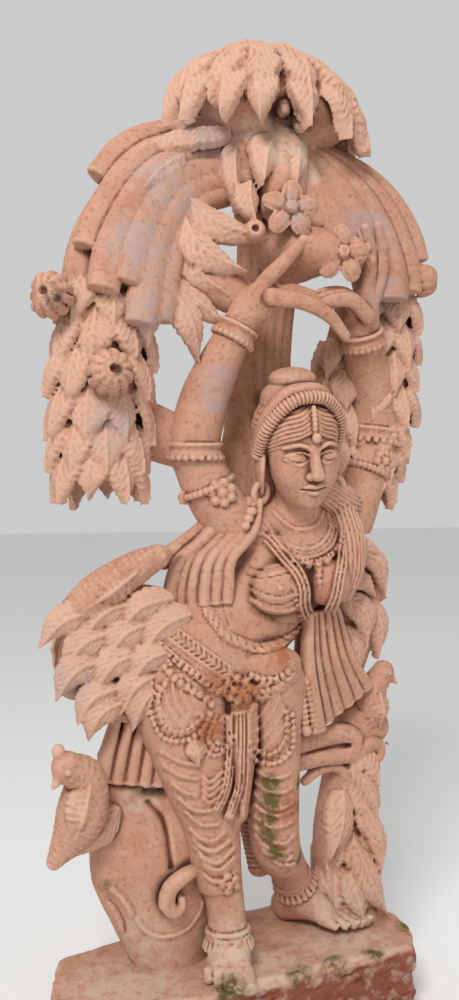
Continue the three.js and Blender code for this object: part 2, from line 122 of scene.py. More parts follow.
class Stone:
    """A block of space that stone is added to and cut from."""

    def __init__(self, name, low, high, cell, adaptivity=0.02):
        self.name, self.cell, self.adaptivity = name, cell, adaptivity
        self.low = np.array(low, float)
        self.axes = [np.arange(low[k], high[k] + cell, cell, dtype=np.float32) for k in range(3)]
        self.field = np.full([len(axis) for axis in self.axes], FAR, np.float32)

    def window(self, low, high):
        """The cells between two corners: their slices, and their x, y and z."""
        spans = tuple(slice(*np.searchsorted(self.axes[k], (low[k], high[k]))) for k in range(3))
        x, y, z = (self.axes[k][spans[k]] for k in range(3))
        return spans, (x[:, None, None], y[None, :, None], z[None, None, :])

    def take(self, spans, distance, blend, cut=False):
        """Adds or cuts the shape that has this distance."""
        old = self.field[spans]
        self.field[spans] = -smooth_min(-old, distance, blend) if cut else smooth_min(old, distance,
                blend)


def curve(points, step=STEP):
    """A smooth line through rows of numbers, its rows about a step apart."""
    rows = np.array(points, float)
    rows = np.vstack([2 * rows[:1] - rows[1:2], rows, 2 * rows[-1:] - rows[-2:-1]])
    pieces = []
    for a, b, c, d in zip(rows, rows[1:], rows[2:], rows[3:]):
        count = max(2, int(np.linalg.norm((c - b)[:3]) / step))
        t = (np.arange(count) / count)[:, None]
        pieces.append(
            0.5 * (2 * b + (c - a) * t + (2 * a - 5 * b + 4 * c - d) * t**2
            + (3 * b - a - 3 * c + d) * t**3)
        )
    return np.vstack(pieces + [rows[-2:-1]])


class Line:
    """A smooth line through points, with a half width and half depth at each.

    `out` lies towards the face it is seen from, and `side` lies across it.
    """

    def __init__(self, points, sizes, face=FRONT):
        points = np.array(points, float)
        sizes = np.array(sizes, float)
        if len(sizes) != len(points):
            share = np.linspace(0, 1, len(points))
            given = np.linspace(0, 1, len(sizes))
            sizes = np.stack([np.interp(share, given, sizes[:, k]) for k in (0, 1)], 1)
        dense = curve(np.hstack([points, sizes]))
        self.at = dense[:, :3]
        self.sizes = np.maximum(dense[:, 3:], 0.5)
        self.run = unit(np.gradient(self.at, axis=0))
        face = np.asarray(face, float)
        self.out = unit(face - self.run * (self.run @ face)[:, None])
        self.side = np.cross(self.run, self.out)
        gaps = np.linalg.norm(np.diff(self.at, axis=0), axis=1)
        self.along = np.concatenate([[0], np.cumsum(gaps)])
        self.length = self.along[-1]

    def near(self, stone, reach):
        """The cells within reach of the line, and each one's place against it."""
        low = (self.at - self.sizes.max(1)[:, None]).min(0) - reach
        high = (self.at + self.sizes.max(1)[:, None]).max(0) + reach
        spans, axes = stone.window(low, high)
        shape = tuple(axis.size for axis in axes)
        best = np.full(shape, np.inf, np.float32)
        mark = np.zeros(shape, np.float32)
        if min(shape) == 0:
            return Cells(self, spans, shape, best, mark, axes)
        for n in range(len(self.at) - 1):
            a, b = self.at[n], self.at[n + 1]
            margin = self.sizes[n : n + 2].max() + reach
            sub = tuple(
                slice(*np.searchsorted(axes[k].ravel(),
                (min(a[k], b[k]) - margin, max(a[k], b[k]) + margin)))
                for k in range(3)
            )
            dx, dy, dz = axes[0][sub[0]] - a[0], axes[1][:, sub[1]] - a[1], axes[2][:, :, sub[2]] - a[2]
            step = b - a
            s = np.clip((dx * step[0] + dy * step[1] + dz * step[2]) / (step @ step), 0, 1)
            gap = (dx - s * step[0]) ** 2 + (dy - s * step[1]) ** 2 + (dz - s * step[2]) ** 2
            nearer = gap < best[sub]
            best[sub] = np.where(nearer, gap, best[sub])
            mark[sub] = np.where(nearer, n + s, mark[sub])
        return Cells(self, spans, shape, best, mark, axes)


class Cells:
    """Cells near a line: u across it, v out from it, w past its ends, and the line's sizes there."""

    def __init__(self, line, spans, shape, best, mark, axes):
        self.spans, self.shape = spans, shape
        self.found = np.isfinite(best)
        mark = mark[self.found]
        n = np.minimum(mark.astype(int), len(line.at) - 2)
        f = (mark - n)[:, None]
        between = lambda rows: rows[n] * (1 - f) + rows[n + 1] * f
        self.x, self.y, self.z = (np.broadcast_to(axis, shape)[self.found] for axis in axes)
        r = np.stack([self.x, self.y, self.z], 1) - between(line.at)
        self.u = np.einsum("ij,ij->i", r, between(line.side))
        self.v = np.einsum("ij,ij->i", r, between(line.out))
        w = np.einsum("ij,ij->i", r, between(line.run))
        ends = (mark <= 0) | (mark >= len(line.at) - 1)
        self.w = np.where(ends, w, 0)
        self.a, self.b = between(line.sizes).T
        self.along = line.along[n] * (1 - f[:, 0]) + line.along[n + 1] * f[:, 0]
        self.share = self.along / line.length

    def whole(self, distance):
        """The distances put back in the window's shape."""
        full = np.full(self.shape, FAR, np.float32)
        full[self.found] = distance
        return full


def limb(stone, points, sizes, face=FRONT, blend=6, relief=None, blunt=1.0, cut=False, reach=4):
    """A round carved member along a line. `relief` gives the height raised at each cell."""
    line = Line(points, sizes, face)
    cells = line.near(stone, blend + reach)
    if not cells.found.any():
        return
    a, b = cells.a, cells.b
    c = np.minimum(a, b) * blunt
    k0 = np.sqrt((cells.u / a) ** 2 + (cells.v / b) ** 2 + (cells.w / c) ** 2)
    k1 = np.sqrt((cells.u / a**2) ** 2 + (cells.v / b**2) ** 2 + (cells.w / c**2) ** 2)
    distance = k0 * (k0 - 1) / np.maximum(k1, 1e-4)
    if relief is not None:
        distance = distance - relief(cells)
    stone.take(cells.spans, cells.whole(distance), blend, cut)


def ball(stone, centre, radii, turn=(0, 0, 0), blend=6, cut=False, relief=None):
    """An ellipsoid turned by angles in degrees about x, y and z."""
    spans, (x, y, z) = stone.window(
        *(np.array(centre) + sign * (max(radii) + blend + 4) for sign in (-1, 1))
    )
    offset = [x - centre[0], y - centre[1], z - centre[2]]
    rows = turn_matrix(turn).T
    p = [sum(rows[k][n] * offset[n] for n in range(3)) / radii[k] for k in range(3)]
    k0 = np.sqrt(p[0] ** 2 + p[1] ** 2 + p[2] ** 2)
    k1 = np.sqrt(sum((p[k] / radii[k]) ** 2 for k in range(3)))
    distance = k0 * (k0 - 1) / np.maximum(k1, 1e-4)
    if relief is not None:
        distance = distance - relief(x, y, z)
    stone.take(spans, distance.astype(np.float32), blend, cut)


def turn_matrix(degrees):
    """The rotation by three angles in degrees, about x first, then y, then z."""
    cx, cy, cz = (math.cos(math.radians(d)) for d in degrees)
    sx, sy, sz = (math.sin(math.radians(d)) for d in degrees)
    about_x = np.array([[1, 0, 0], [0, cx, -sx], [0, sx, cx]])
    about_y = np.array([[cy, 0, sy], [0, 1, 0], [-sy, 0, cy]])
    about_z = np.array([[cz, -sz, 0], [sz, cz, 0], [0, 0, 1]])
    return about_z @ about_y @ about_x


LEAF_OUTLINE = [0.42, 0.74, 0.93, 1.0, 0.98, 0.88, 0.7, 0.46, 0.2, 0.02]


def leaf(stone, points, width, thick=5, back=9, curl=6, face=FRONT, teeth=8, notch=0.12, vein=14, blend=1,
        bow=8,
         lean=1.6, groove_depth=2.2):
    """A cut leaf: a midrib, veins that slant to toothed edges, and a pointed tip."""
    points = [np.array(p, float) for p in points]
    if len(points) == 2:
        points.insert(1, (points[0] + points[1]) / 2 + np.asarray(face) * bow)
    line = Line(points, [[width / 2, thick + 6]] * 2, face)
    cells = line.near(stone, back)
    if not cells.found.any():
        return
    t, across = cells.share, np.abs(cells.u)
    tooth = np.mod(t * teeth, 1)
    half = width / 2 * np.interp(t, np.linspace(0, 1, len(LEAF_OUTLINE)), LEAF_OUTLINE)
    half = half * (1 - notch * (1 - tooth) * np.clip(6 * (t - 0.12), 0, 1))
    spread = np.minimum(across / np.maximum(half, 1), 1.2)
    groove = 0.5 + 0.5 * np.cos(2 * math.pi * (cells.along - lean * across) / vein)
    front = thick * (1 - 0.35 * spread**2) - curl * spread**2
    front = front + 2.5 * np.exp(-((across / 2.4) ** 2)) - groove_depth * groove * np.clip(across / 4, 0,
            1)
    distance = np.maximum(across - half, cells.v - front)
    distance = np.maximum(distance, -back - curl * spread**2 - cells.v)
    distance = np.maximum(distance, np.abs(cells.w) - 0.5)
    stone.take(cells.spans, cells.whole(distance * 0.8), blend)


def ridged(height, spacing, lean=0.0):
    """Relief of fine rounded ridges that run along a member, or across it where `lean` is 1."""
    def relief(cells):
        angle = np.arctan2(cells.v, cells.u)
        place = (1 - lean) * angle * (cells.a + cells.b) / 2 + lean * cells.along
        return height * np.cos(2 * math.pi * place / spacing)
    return relief


def beaded(height, pitch):
    """Relief of beads along a member."""
    return lambda cells: height * (np.abs(np.sin(math.pi * cells.along / pitch)) - 0.5)


def pane_place(x, y, z):
    """Where the eye sees a place on the pane: millimetres across and up."""
    scale = (PANE_Y - EYE[1]) / (y - EYE[1])
    return EYE[0] + (x - EYE[0]) * scale, EYE[2] + (z - EYE[2]) * scale


def shallow(stone, low, high, front, back):
    """The cells near the surface behind a rectangle of the pane, and where each is seen on it."""
    reach = 30
    spans, axes = stone.window(
        (low[0] - reach, front, low[1] - reach), (high[0] + reach, back, high[1] + reach)
    )
    part = stone.field[spans]
    near = np.abs(part) < 14
    x, y, z = (np.broadcast_to(axis, part.shape)[near] for axis in axes)
    return part, near, pane_place(x, y, z)


def emboss(stone, points, half, height, front=-146, back=10):
    """Raises relief along a line drawn on the pane: height(along, across, length) in millimetres."""
    route = curve(points, 3)
    steps = np.linalg.norm(np.diff(route, axis=0), axis=1)
    starts = np.concatenate([[0], np.cumsum(steps)])
    part, near, (u, v) = shallow(stone, route.min(0) - half, route.max(0) + half, front, back)
    best = np.full(u.shape, half * half, float)
    along = np.zeros(u.shape)
    across = np.full(u.shape, np.inf)
    for a, b, length, start in zip(route, route[1:], steps, starts):
        run = (b - a) / length
        du, dv = u - a[0], v - a[1]
        s = np.clip(du * run[0] + dv * run[1], 0, length)
        side = dv * run[0] - du * run[1]
        gap = (du - s * run[0]) ** 2 + (dv - s * run[1]) ** 2
        nearer = gap < best
        best[nearer] = gap[nearer]
        along[nearer] = start + s[nearer]
        across[nearer] = np.sign(side[nearer]) * np.sqrt(gap[nearer])
    found = np.isfinite(across)
    lift = np.zeros(u.shape)
    lift[found] = height(along[found], across[found], starts[-1])
    part[near] -= lift.astype(np.float32)


def patch(stone, outline, height, front=-146, back=10, edge=3):
    """Raises the area inside an outline drawn on the pane: height(across, up) in millimetres."""
    corners = np.array(outline, float)
    part, near, (u, v) = shallow(stone, corners.min(0), corners.max(0), front, back)
    inside = np.clip(0.5 - outline_distance(u, v, [tuple(c) for c in outline]) / edge, 0, 1)
    part[near] -= (inside * height(u, v)).astype(np.float32)


def knobs(stone, places, radius, rise=1.0, front=-146, back=10):
    """Round beads at places drawn on the pane."""
    for place in places:
        centre = np.array(place, float)
        part, near, (u, v) = shallow(stone, centre - radius, centre + radius, front, back)
        dome = np.sqrt(np.maximum(radius**2 - (u - centre[0]) ** 2 - (v - centre[1]) ** 2, 0))
        part[near] -= (rise * dome).astype(np.float32)


def roll(width, height):
    """A thin rounded roll, or a groove where the height is negative."""
    def relief(along, across, length):
        ends = np.clip(along / 6, 0, 1) * np.clip((length - along) / 6, 0, 1)
        return height * ends * np.exp(-((across / width) ** 2))
    return relief


def bead_row(radius, pitch, rise=1.0):
    """A row of round beads."""
    def relief(along, across, length):
        step = length / max(1, round(length / pitch))
        place = np.mod(along, step) - step / 2
        return rise * np.sqrt(np.maximum(radius**2 - place**2 - across**2, 0))
    return relief


def tooth_row(half, pitch, height):
    """A row of rounded teeth across a band."""
    def relief(along, across, length):
        step = length / max(1, round(length / pitch))
        place = np.abs(np.mod(along, step) - step / 2) / (step / 2)
        tab = np.clip((0.86 - place) * 5, 0, 1) * np.clip((half - np.abs(across)) / 1.5, 0, 1)
        return height * tab
    return relief


def herringbone(half, spacing, height):
    """A band of slanting cuts that meet in its middle, between two plain borders."""
    def relief(along, across, length):
        cuts = height * np.cos(2 * math.pi * (along + np.abs(across)) / spacing)
        border = height * np.exp(-(((np.abs(across) - half + 2) / 1.6) ** 2))
        return np.where(np.abs(across) < half - 3, 0.5 * height + 0.5 * cuts, 1.6 * border)
    return relief


def leaf_row(half, pitch, height):
    """A row of slanting leaves, each over the next."""
    def relief(along, across, length):
        place = np.mod(along + 0.9 * across, pitch) / pitch
        round_off = np.sqrt(np.maximum(1 - (across / half) ** 2, 0))
        return height * round_off * (0.35 + 0.65 * place**0.5)
    return relief


def lines_along(half, spacing, height):
    """A ribbon with fine ridges along it and raised edges."""
    def relief(along, across, length):
        body = np.clip((half - np.abs(across)) / 2, 0, 1)
        ends = np.clip(along / 8, 0, 1) * np.clip((length - along) / 8, 0, 1)
        return ends * body * height * (1 + 0.35 * np.cos(2 * math.pi * across / spacing))
    return relief


# The rough plinth.
PLINTH_OUTLINE = [
    (-290, -40), (-280, -116), (-130, -126), (60, -122), (262, -118),
    (296, -60), (288, 40), (215, 112), (60, 96), (-145, 86), (-256, 62),
]


def outline_distance(x, y, outline):
    """The signed distance to a closed outline in plan."""
    nearest = np.full(np.broadcast(x, y).shape, np.inf)
    inside = np.zeros(nearest.shape, bool)
    for (ax, ay), (bx, by) in zip(outline, outline[1:] + outline[:1]):
        ex, ey = bx - ax, by - ay
        s = np.clip(((x - ax) * ex + (y - ay) * ey) / (ex * ex + ey * ey), 0, 1)
        nearest = np.minimum(nearest, (x - ax - s * ex) ** 2 + (y - ay - s * ey) ** 2)
        crosses = ((ay > y) != (by > y)) & (x < ex * (y - ay) / (ey + 1e-9) + ax)
        inside ^= crosses
    return np.where(inside, -1, 1) * np.sqrt(nearest)


def plinth():
    stone = Stone("plinth", (-318, -150, -6), (322, 124, 126), 3.0, adaptivity=0.1)
    x, y, z = stone.window((-400, -400, -50), (400, 400, 400))[1]
    edge = outline_distance(x[:, :, 0], y[:, :, 0], PLINTH_OUTLINE)[:, :, None]
    broken = np.clip((-y - 40) / 60, 0, 1)
    edge = edge + 3 * bumps(x, y, z, 70) + 1.2 * bumps(x, y, z, 21, 2.0)
    edge = edge + broken * (5 * np.abs(bumps(x, y, z * 1.8, 90, 5.0)) + 2.5 * np.abs(bumps(x, y, 2 * z,
            34, 4.0)))
    top = PLINTH_TOP - 2 + 2.2 * bumps(x, y, 0, 120, 1.0) + 0.7 * bumps(x, y, 0, 26, 3.0)
    top = top - 9 * np.clip((x - 150) / 150, 0, 1) * np.clip((-y - 30) / 80, 0, 1)
    rise = -smooth_min(-(z - top), -edge, 10)
    stone.field = np.maximum(rise, -z).astype(np.float32)
    return stone


# Her legs and the cloth round them.
def cloth_folds(spacing, droop, height=2.0):
    """Relief of drooping folds round the back of a leg."""
    def relief(cells):
        angle = np.arctan2(cells.v, cells.u)
        behind = np.clip(-np.sin(angle) * 2, 0, 1)
        place = (cells.along + droop * np.cos(2 * angle)) / spacing
        edge = np.exp(-(((np.mod(place, 1) - 0.5) * spacing / 3) ** 2))
        return height * behind * edge
    return relief


def foot(stone, heel, instep, front, toe_run, width):
    """A bare foot with five toes."""
    toe_run = np.array(toe_run, float)
    side = unit(np.cross(toe_run, UP))
    limb(stone, [heel, instep, front], [[27, 26], [30, 27], [width, 14]], face=UP, blend=12)
    for n in range(5):
        root = np.array(front, float) + side * (n / 4 - 0.5) * 1.55 * width - 0.25 * toe_run
        tip = root + toe_run * (1.3 - 0.08 * n - 0.03 * n * n)
        knuckle = (root + tip) / 2 + UP * 5
        girth = 11.5 - 1.1 * n
        sizes = [[girth, girth * 0.9], [girth * 0.86, girth * 0.75], [girth, girth * 0.75]]
        limb(stone, [root, knuckle, tip - UP * 2], sizes, face=UP, blend=2)
        nail = tip + toe_run * 0.12 + UP * girth * 0.35
        ball(stone, nail, [girth * 0.6, girth * 0.6, girth * 0.4], blend=1)


def ring_points(centre, axis, radius, count=14):
    """Points round a closed ring, the last one meeting the first."""
    axis = unit(axis)
    side = unit(np.cross(axis, BACK + 0.01 * UP))
    other = np.cross(axis, side)
    angles = np.linspace(0, 2 * math.pi, count + 1)
    return [np.array(centre) + radius * (side * math.cos(a) + other * math.sin(a)) for a in angles]


def anklet(stone, centre, axis, radius):
    """Two plain rings over a row of bells."""
    axis = unit(axis)
    for drop, girth in ((-4, 3.5), (3, 3)):
        limb(stone, ring_points(np.array(centre) + axis * drop, axis, radius + 1), [[girth, girth]] * 2,
                blend=1)
    count = 22
    top = ring_points(np.array(centre) + axis * 7, axis, radius + 1, count)
    low = ring_points(np.array(centre) + axis * 19, axis, radius + 5, count)
    for a, b in zip(top[:-1], low[:-1]):
        limb(stone, [a, b], [[3, 3], [4.4, 4.4]], blend=0.5)


RIGHT_FOLDS = [
    [(-139, 438), (-107, 418), (-74, 408)],
    [(-136, 418), (-107, 398), (-74, 388)],
    [(-122, 390), (-100, 373), (-76, 362)],
    [(-113, 369), (-85, 345), (-52, 338)],
    [(-100, 347), (-76, 323), (-54, 318), (-39, 319)],
    [(-94, 321), (-74, 302), (-52, 295), (-30, 308)],
    [(-90, 309), (-70, 287), (-48, 280), (-21, 294)],
    [(-85, 294), (-65, 270), (-43, 262), (-14, 283)],
    [(-79, 280), (-61, 259), (-41, 252), (-14, 268)],
    [(-74, 266), (-54, 249), (-34, 248), (-14, 260)],
    [(-70, 250), (-54, 236), (-34, 234)],
]
LEFT_FOLDS = [
    [(9, 396), (35, 378), (59, 374), (80, 380)],
    [(7, 380), (33, 358), (59, 351), (82, 358)],
    [(9, 361), (35, 334), (59, 327), (84, 334)],
    [(9, 342), (37, 321), (59, 317), (84, 325)],
    [(9, 325), (37, 303), (61, 299), (85, 306)],
    [(9, 310), (30, 288), (49, 277), (68, 273), (86, 286)],
    [(12, 297), (30, 276), (54, 261), (76, 258)],
    [(16, 284), (35, 264), (61, 250), (78, 249)],
    [(23, 270), (45, 250), (68, 238), (82, 240)],
]


def legs(stone):
    right_line = [[-84, -20, 540], [-80, -30, 450], [-66, -40, 380], [-50, -44, 320], [-43, -46, 262],
            [-38, -50, 226]]
    right_size = [[76, 60], [66, 58], [53, 52], [43, 44], [38, 39], [33, 34]]
    left_line = [[40, -24, 540], [50, -36, 450], [52, -44, 380], [52, -46, 320], [58, -42, 270],
            [74, -28, 240]]
    left_size = [[66, 56], [50, 50], [42, 44], [39, 42], [38, 39], [34, 35]]
    limb(stone, right_line, right_size, relief=cloth_folds(24, 8), blend=4, blunt=0.35)
    limb(stone, left_line, left_size, relief=cloth_folds(24, 8), blend=4, blunt=0.35)
    limb(stone, [[-38, -48, 250], [-30, -55, 185], [-28, -60, 120]], [[31, 31], [28, 30], [30, 32]],
            blend=3)
    limb(stone, [[72, -32, 250], [106, 0, 200], [130, 20, 148]], [[32, 33], [29, 30], [27, 29]], blend=3)
    foot(stone, [-24, -40, 128], [-34, -76, 132], [-48, -98, 119], [-8, -32, -5], 35)
    foot(stone, [120, 38, 134], [142, 6, 146], [172, -24, 127], [29, -33, -5], 34)
    anklet(stone, [-29, -59, 158], (0, -0.1, -1), 30)
    anklet(stone, [112, 6, 190], (0.6, 0.35, -1), 29)
    for folds in (RIGHT_FOLDS, LEFT_FOLDS):
        for n, fold in enumerate(folds):
            emboss(stone, fold, 9, roll(3.2, 4.0), back=-5)
            below = [(x + 1, z - 6) for x, z in fold]
            emboss(stone, below, 9, roll(3.5, -1.6), back=-5)
    knobs(stone, [(-30, 239), (-16, 233), (-25, 226), (-13, 222), (-28, 217), (-38, 229)], 7, 0.9)
    knobs(stone, [(66, 256), (76, 250), (70, 242), (80, 238)], 6, 0.8)
    for n in range(4):
        drop = 10 * n
        emboss(stone, [(-72, 396 - drop), (-57, 382 - drop), (-34, 398 - drop)], 8, roll(2.8, 4.5),
                back=-5)


# The girdle, and what hangs from it.
RIGHT_PANEL = [(-68, 479), (-62, 500), (-72, 522), (-100, 545), (-128, 540), (-139, 520), (-140, 496),
        (-134, 476),
               (-118, 461), (-98, 458), (-80, 467)]
LEFT_PANEL = [(5, 436), (4, 480), (20, 500), (58, 500), (70, 470), (70, 440), (58, 414), (36, 408),
        (18, 420)]
SMALL_PANEL = [(-34, 480), (-48, 470), (-54, 450), (-46, 434), (-32, 434), (-22, 450), (-22, 474)]


def shells(centre, spacing, height):
    """Relief of arcs round a centre, like a shell's growth lines."""
    def relief(u, v):
        r = np.hypot(u - centre[0], 0.8 * (v - centre[1]))
        return 3 + height * np.exp(-(((np.mod(r, spacing) - spacing / 2) / 1.7) ** 2))
    return relief


def garments(stone):
    # Sashes down the middle, under the panels.
    limb(stone, [[-14, -72, 512], [-12, -76, 440], [-16, -68, 380], [-30, -66, 330]],
            [[22, 18], [20, 16], [22, 14], [26, 12]],
         blend=3)
    emboss(stone, [(-24, 483), (-24, 425), (-30, 374), (-43, 345), (-52, 334)], 12, lines_along(8, 7, 7),
            back=0)
    emboss(stone, [(-9, 484), (-9, 424), (-11, 372), (-21, 342), (-30, 320)], 12, lines_along(8, 7, 8),
            back=0)
    emboss(stone, [(4, 482), (4, 422), (2, 370), (-2, 339), (-4, 317)], 10, lines_along(7, 7, 5), back=0)
    emboss(stone, [(-26, 481), (-10, 479), (6, 481)], 10, lines_along(4, 9, 4), back=0)
    # Scalloped panels over each thigh.
    patch(stone, RIGHT_PANEL, shells((-62, 534), 12, 2.2))
    patch(stone, LEFT_PANEL, shells((0, 520), 13, 2.2))
    patch(stone, SMALL_PANEL, shells((-30, 484), 9, 1.8))
    emboss(stone, [(-124, 535), (-137, 520), (-140, 498), (-135, 480), (-126, 466), (-109, 458),
            (-92, 460), (-78, 469),
                   (-66, 481)], 8, bead_row(5, 10))
    emboss(stone, [(-136, 532), (-147, 517), (-150, 497), (-144, 473), (-131, 455), (-111, 447),
            (-92, 448), (-76, 455),
                   (-64, 467)], 7, bead_row(4.6, 9.5))
    emboss(stone, [(4, 436), (16, 421), (35, 410), (54, 414), (67, 428), (71, 451), (68, 478)], 7,
            bead_row(5, 10))
    emboss(stone, [(4, 424), (16, 407), (37, 397), (59, 399), (77, 412), (82, 435), (79, 472)], 7,
            bead_row(5, 10))
    emboss(stone, [(-54, 484), (-65, 465), (-72, 445), (-63, 428), (-48, 420), (-33, 426), (-20, 438)], 7,
            bead_row(4.4, 8))
    emboss(stone, [(-46, 480), (-54, 462), (-60, 446), (-52, 432), (-41, 428), (-30, 434), (-20, 448)], 7,
            bead_row(4.4, 8))
    leaf(stone, [[-96, -90, 454], [-92, -96, 440], [-90, -88, 418]], 34, thick=6, blend=2, teeth=2,
            vein=8)
    # Strings of beads down her right hip.
    for top, low in (((-175, 568), (-184, 480)), ((-190, 562), (-201, 492)), ((-148, 547), (-157, 487)),
            ((-162, 556), (-170, 484))):
        middle = ((top[0] + low[0]) / 2 + 2, (top[1] + low[1]) / 2)
        emboss(stone, [top, middle, low], 7, bead_row(4.6, 8.5), back=30)
    # The girdle: a herringbone band, plain cords, teeth and round beads, knotted in front.
    upper = [(-146, 628), (-129, 615), (-88, 583), (-30, 541)]
    emboss(stone, upper, 14, herringbone(11, 10, 3), back=30)
    for n in range(3):
        drop = 13 + 6 * n
        emboss(stone, [(x - 3 - n, z - drop) for x, z in upper], 6, roll(2.2, 3.2), back=30)
    emboss(stone, [(-158, 604), (-130, 583), (-104, 559), (-75, 537), (-48, 516), (-28, 508)], 10,
            tooth_row(6, 11, 5), back=30)
    emboss(stone, [(-162, 583), (-136, 564), (-110, 536), (-88, 520), (-68, 508), (-50, 492)], 8,
            bead_row(6.4, 12), back=30)
    emboss(stone, [(4, 534), (32, 524), (53, 524), (76, 536)], 9, tooth_row(6, 11, 5))
    emboss(stone, [(0, 514), (26, 505), (52, 508), (80, 524)], 9, leaf_row(8, 12, 6))
    knobs(stone, [(-28, 524), (-14, 530), (0, 525), (-20, 513), (-6, 508), (8, 514), (-35, 515),
            (-26, 503), (-12, 497), (2, 500)],
          7.5, 1.0)
    knobs(stone, [(27, 507)], 14, 0.5)
    knobs(stone, [(27 + 12 * math.cos(a), 507 + 12 * math.sin(a)) for a in np.linspace(0, 2 * math.pi,
            9)[:-1]], 5, 0.8)
    # The leaf garland round her waist.
    emboss(stone, [(-62, 634), (-34, 598), (-8, 583), (22, 573), (53, 577), (76, 585), (106, 603)], 9,
            leaf_row(8, 14, 7), back=30)


# Her hips, body, neck and necklaces.
def torso(stone):
    limb(stone, [[-66, -8, 520], [-34, -10, 556], [14, -12, 600], [52, -18, 640], [86, -22, 684],
            [108, -22, 722],
                 [108, -16, 756], [106, -16, 776]],
         [[98, 60], [106, 62], [86, 54], [72, 48], [76, 52], [82, 48], [64, 36], [40, 30]], blend=6)
    ball(stone, [-52, -10, 556], [112, 62, 62], turn=(0, 25, 0), blend=20)
    ball(stone, [-110, -4, 600], [50, 42, 48], blend=30)
    ball(stone, [-84, -24, 486], [72, 56, 70], turn=(0, -15, 0), blend=20)
    ball(stone, [46, -28, 494], [64, 50, 56], blend=20)
    ball(stone, [44, -66, 552], [44, 26, 25], turn=(0, 6, 0), blend=12)
    ball(stone, [40, -50, 520], [62, 34, 36], turn=(0, 12, 0), blend=18)
    limb(stone, [[108, -20, 740], [106, -28, 780], [98, -38, 830]], [[38, 34], [33, 33], [36, 34]],
            blend=16)
    for side in (-1, 1):
        limb(stone, [[108, -16, 764], [108 + 66 * side, -12, 752], [108 + 96 * side, -4, 768]],
             [[36, 32], [40, 34], [38, 34]], blend=14)
    ball(stone, [50, -72, 662], [42, 36, 38], blend=8)
    ball(stone, [138, -64, 668], [38, 34, 36], blend=8)
    knobs(stone, [(58, 660)], 6, 0.7)
    # The bodice's folds.
    for line in ([(-1, 697), (32, 690), (68, 697)], [(-2, 684), (32, 678), (80, 686)],
            [(2, 670), (32, 655), (63, 650), (90, 662)],
                 [(4, 659), (27, 643), (58, 636), (90, 646)]):
        emboss(stone, line, 7, roll(1.8, -2.6))
    emboss(stone, [(4, 650), (24, 634), (44, 627), (76, 626), (96, 638)], 8, roll(3, 4))
    emboss(stone, [(-38, 655), (-36, 633), (-26, 606)], 7, roll(2.2, -2.4))
    emboss(stone, [(36, 620), (60, 608), (84, 606)], 7, roll(2.2, -2.0))
    # Necklaces.
    emboss(stone, [(42, 783), (68, 759), (95, 750), (122, 758), (136, 783)], 6, roll(2.4, 4))
    emboss(stone, [(32, 765), (53, 738), (79, 724), (111, 720), (135, 733), (146, 755), (139, 783)], 6,
            roll(2.4, 4))
    emboss(stone, [(28, 757), (54, 731), (81, 718), (113, 714), (141, 728), (152, 752), (145, 786)], 6,
            bead_row(3, 6))
    emboss(stone, [(24, 749), (55, 725), (84, 711), (116, 708), (147, 723), (158, 750), (151, 788)], 6,
            roll(2.2, 4))
    emboss(stone, [(76, 706), (111, 699), (138, 704), (158, 719), (168, 740), (168, 764), (160, 790)], 9,
            tooth_row(6, 8, 5))
    knobs(stone, [(107, 694), (124, 697), (140, 700)], 6, 1.1)
    knobs(stone, [(124, 691)], 8, 1.1)
    knobs(stone, [(124, 679)], 6.5, 1.1)
    knobs(stone, [(125, 668)], 5.5, 1.1)
    knobs(stone, [(126, 660)], 3.6, 1.1)
    # The scarf that loops down between her breasts.
    emboss(stone, [(34, 742), (66, 708), (89, 683), (100, 657), (101, 631), (114, 610), (135, 613),
            (153, 638), (161, 669),
                   (168, 707), (172, 747), (167, 782)], 16, lines_along(11, 8, 8))
    emboss(stone, [(84, 662), (88, 634), (98, 608), (116, 594), (138, 598), (156, 618)], 7,
            bead_row(4, 8))


def body():
    stone = Stone("body", (-206, -146, 96), (240, 72, 850), 2.7, adaptivity=0.04)
    legs(stone)
    torso(stone)
    garments(stone)
    limb(stone, [[20, 0, 420], [34, 4, 320], [50, 10, 262], [58, 10, 214]],
            [[20, 18], [20, 18], [22, 18], [20, 16]],
         relief=ridged(1.5, 8, 1.0), blend=4)
    return stone


# Her raised arms and the hands over her head.
def arm_band(stone, centre, axis, radius):
    """A cuff with a scalloped lower edge."""
    axis = unit(axis)
    centre = np.array(centre, float)
    limb(stone, [centre - axis * 6, centre + axis * 6], [[radius + 3, radius + 3]] * 2, blend=1,
            blunt=0.15)
    for shift, girth in ((-7, 3.5), (6, 3)):
        limb(stone, ring_points(centre + axis * shift, axis, radius + 2.5), [[girth, girth]] * 2, blend=1)
    low = ring_points(centre + axis * 12, axis, radius + 3, 22)
    for point in low[:-1]:
        ball(stone, point, [5.5, 5.5, 5.5], blend=1)


def flower_boss(stone, centre, out, radius):
    """A flat flower of round petals about a boss."""
    out = unit(out)
    centre = np.array(centre, float)
    side = unit(np.cross(out, UP))
    rise = np.cross(side, out)
    for n in range(7):
        angle = 2 * math.pi * n / 7
        petal = centre + (side * math.cos(angle) + rise * math.sin(angle)) * radius * 0.68
        ball(stone, petal, [radius * 0.36] * 3, blend=1)
    ball(stone, centre + out * 2, [radius * 0.42] * 3, blend=1)


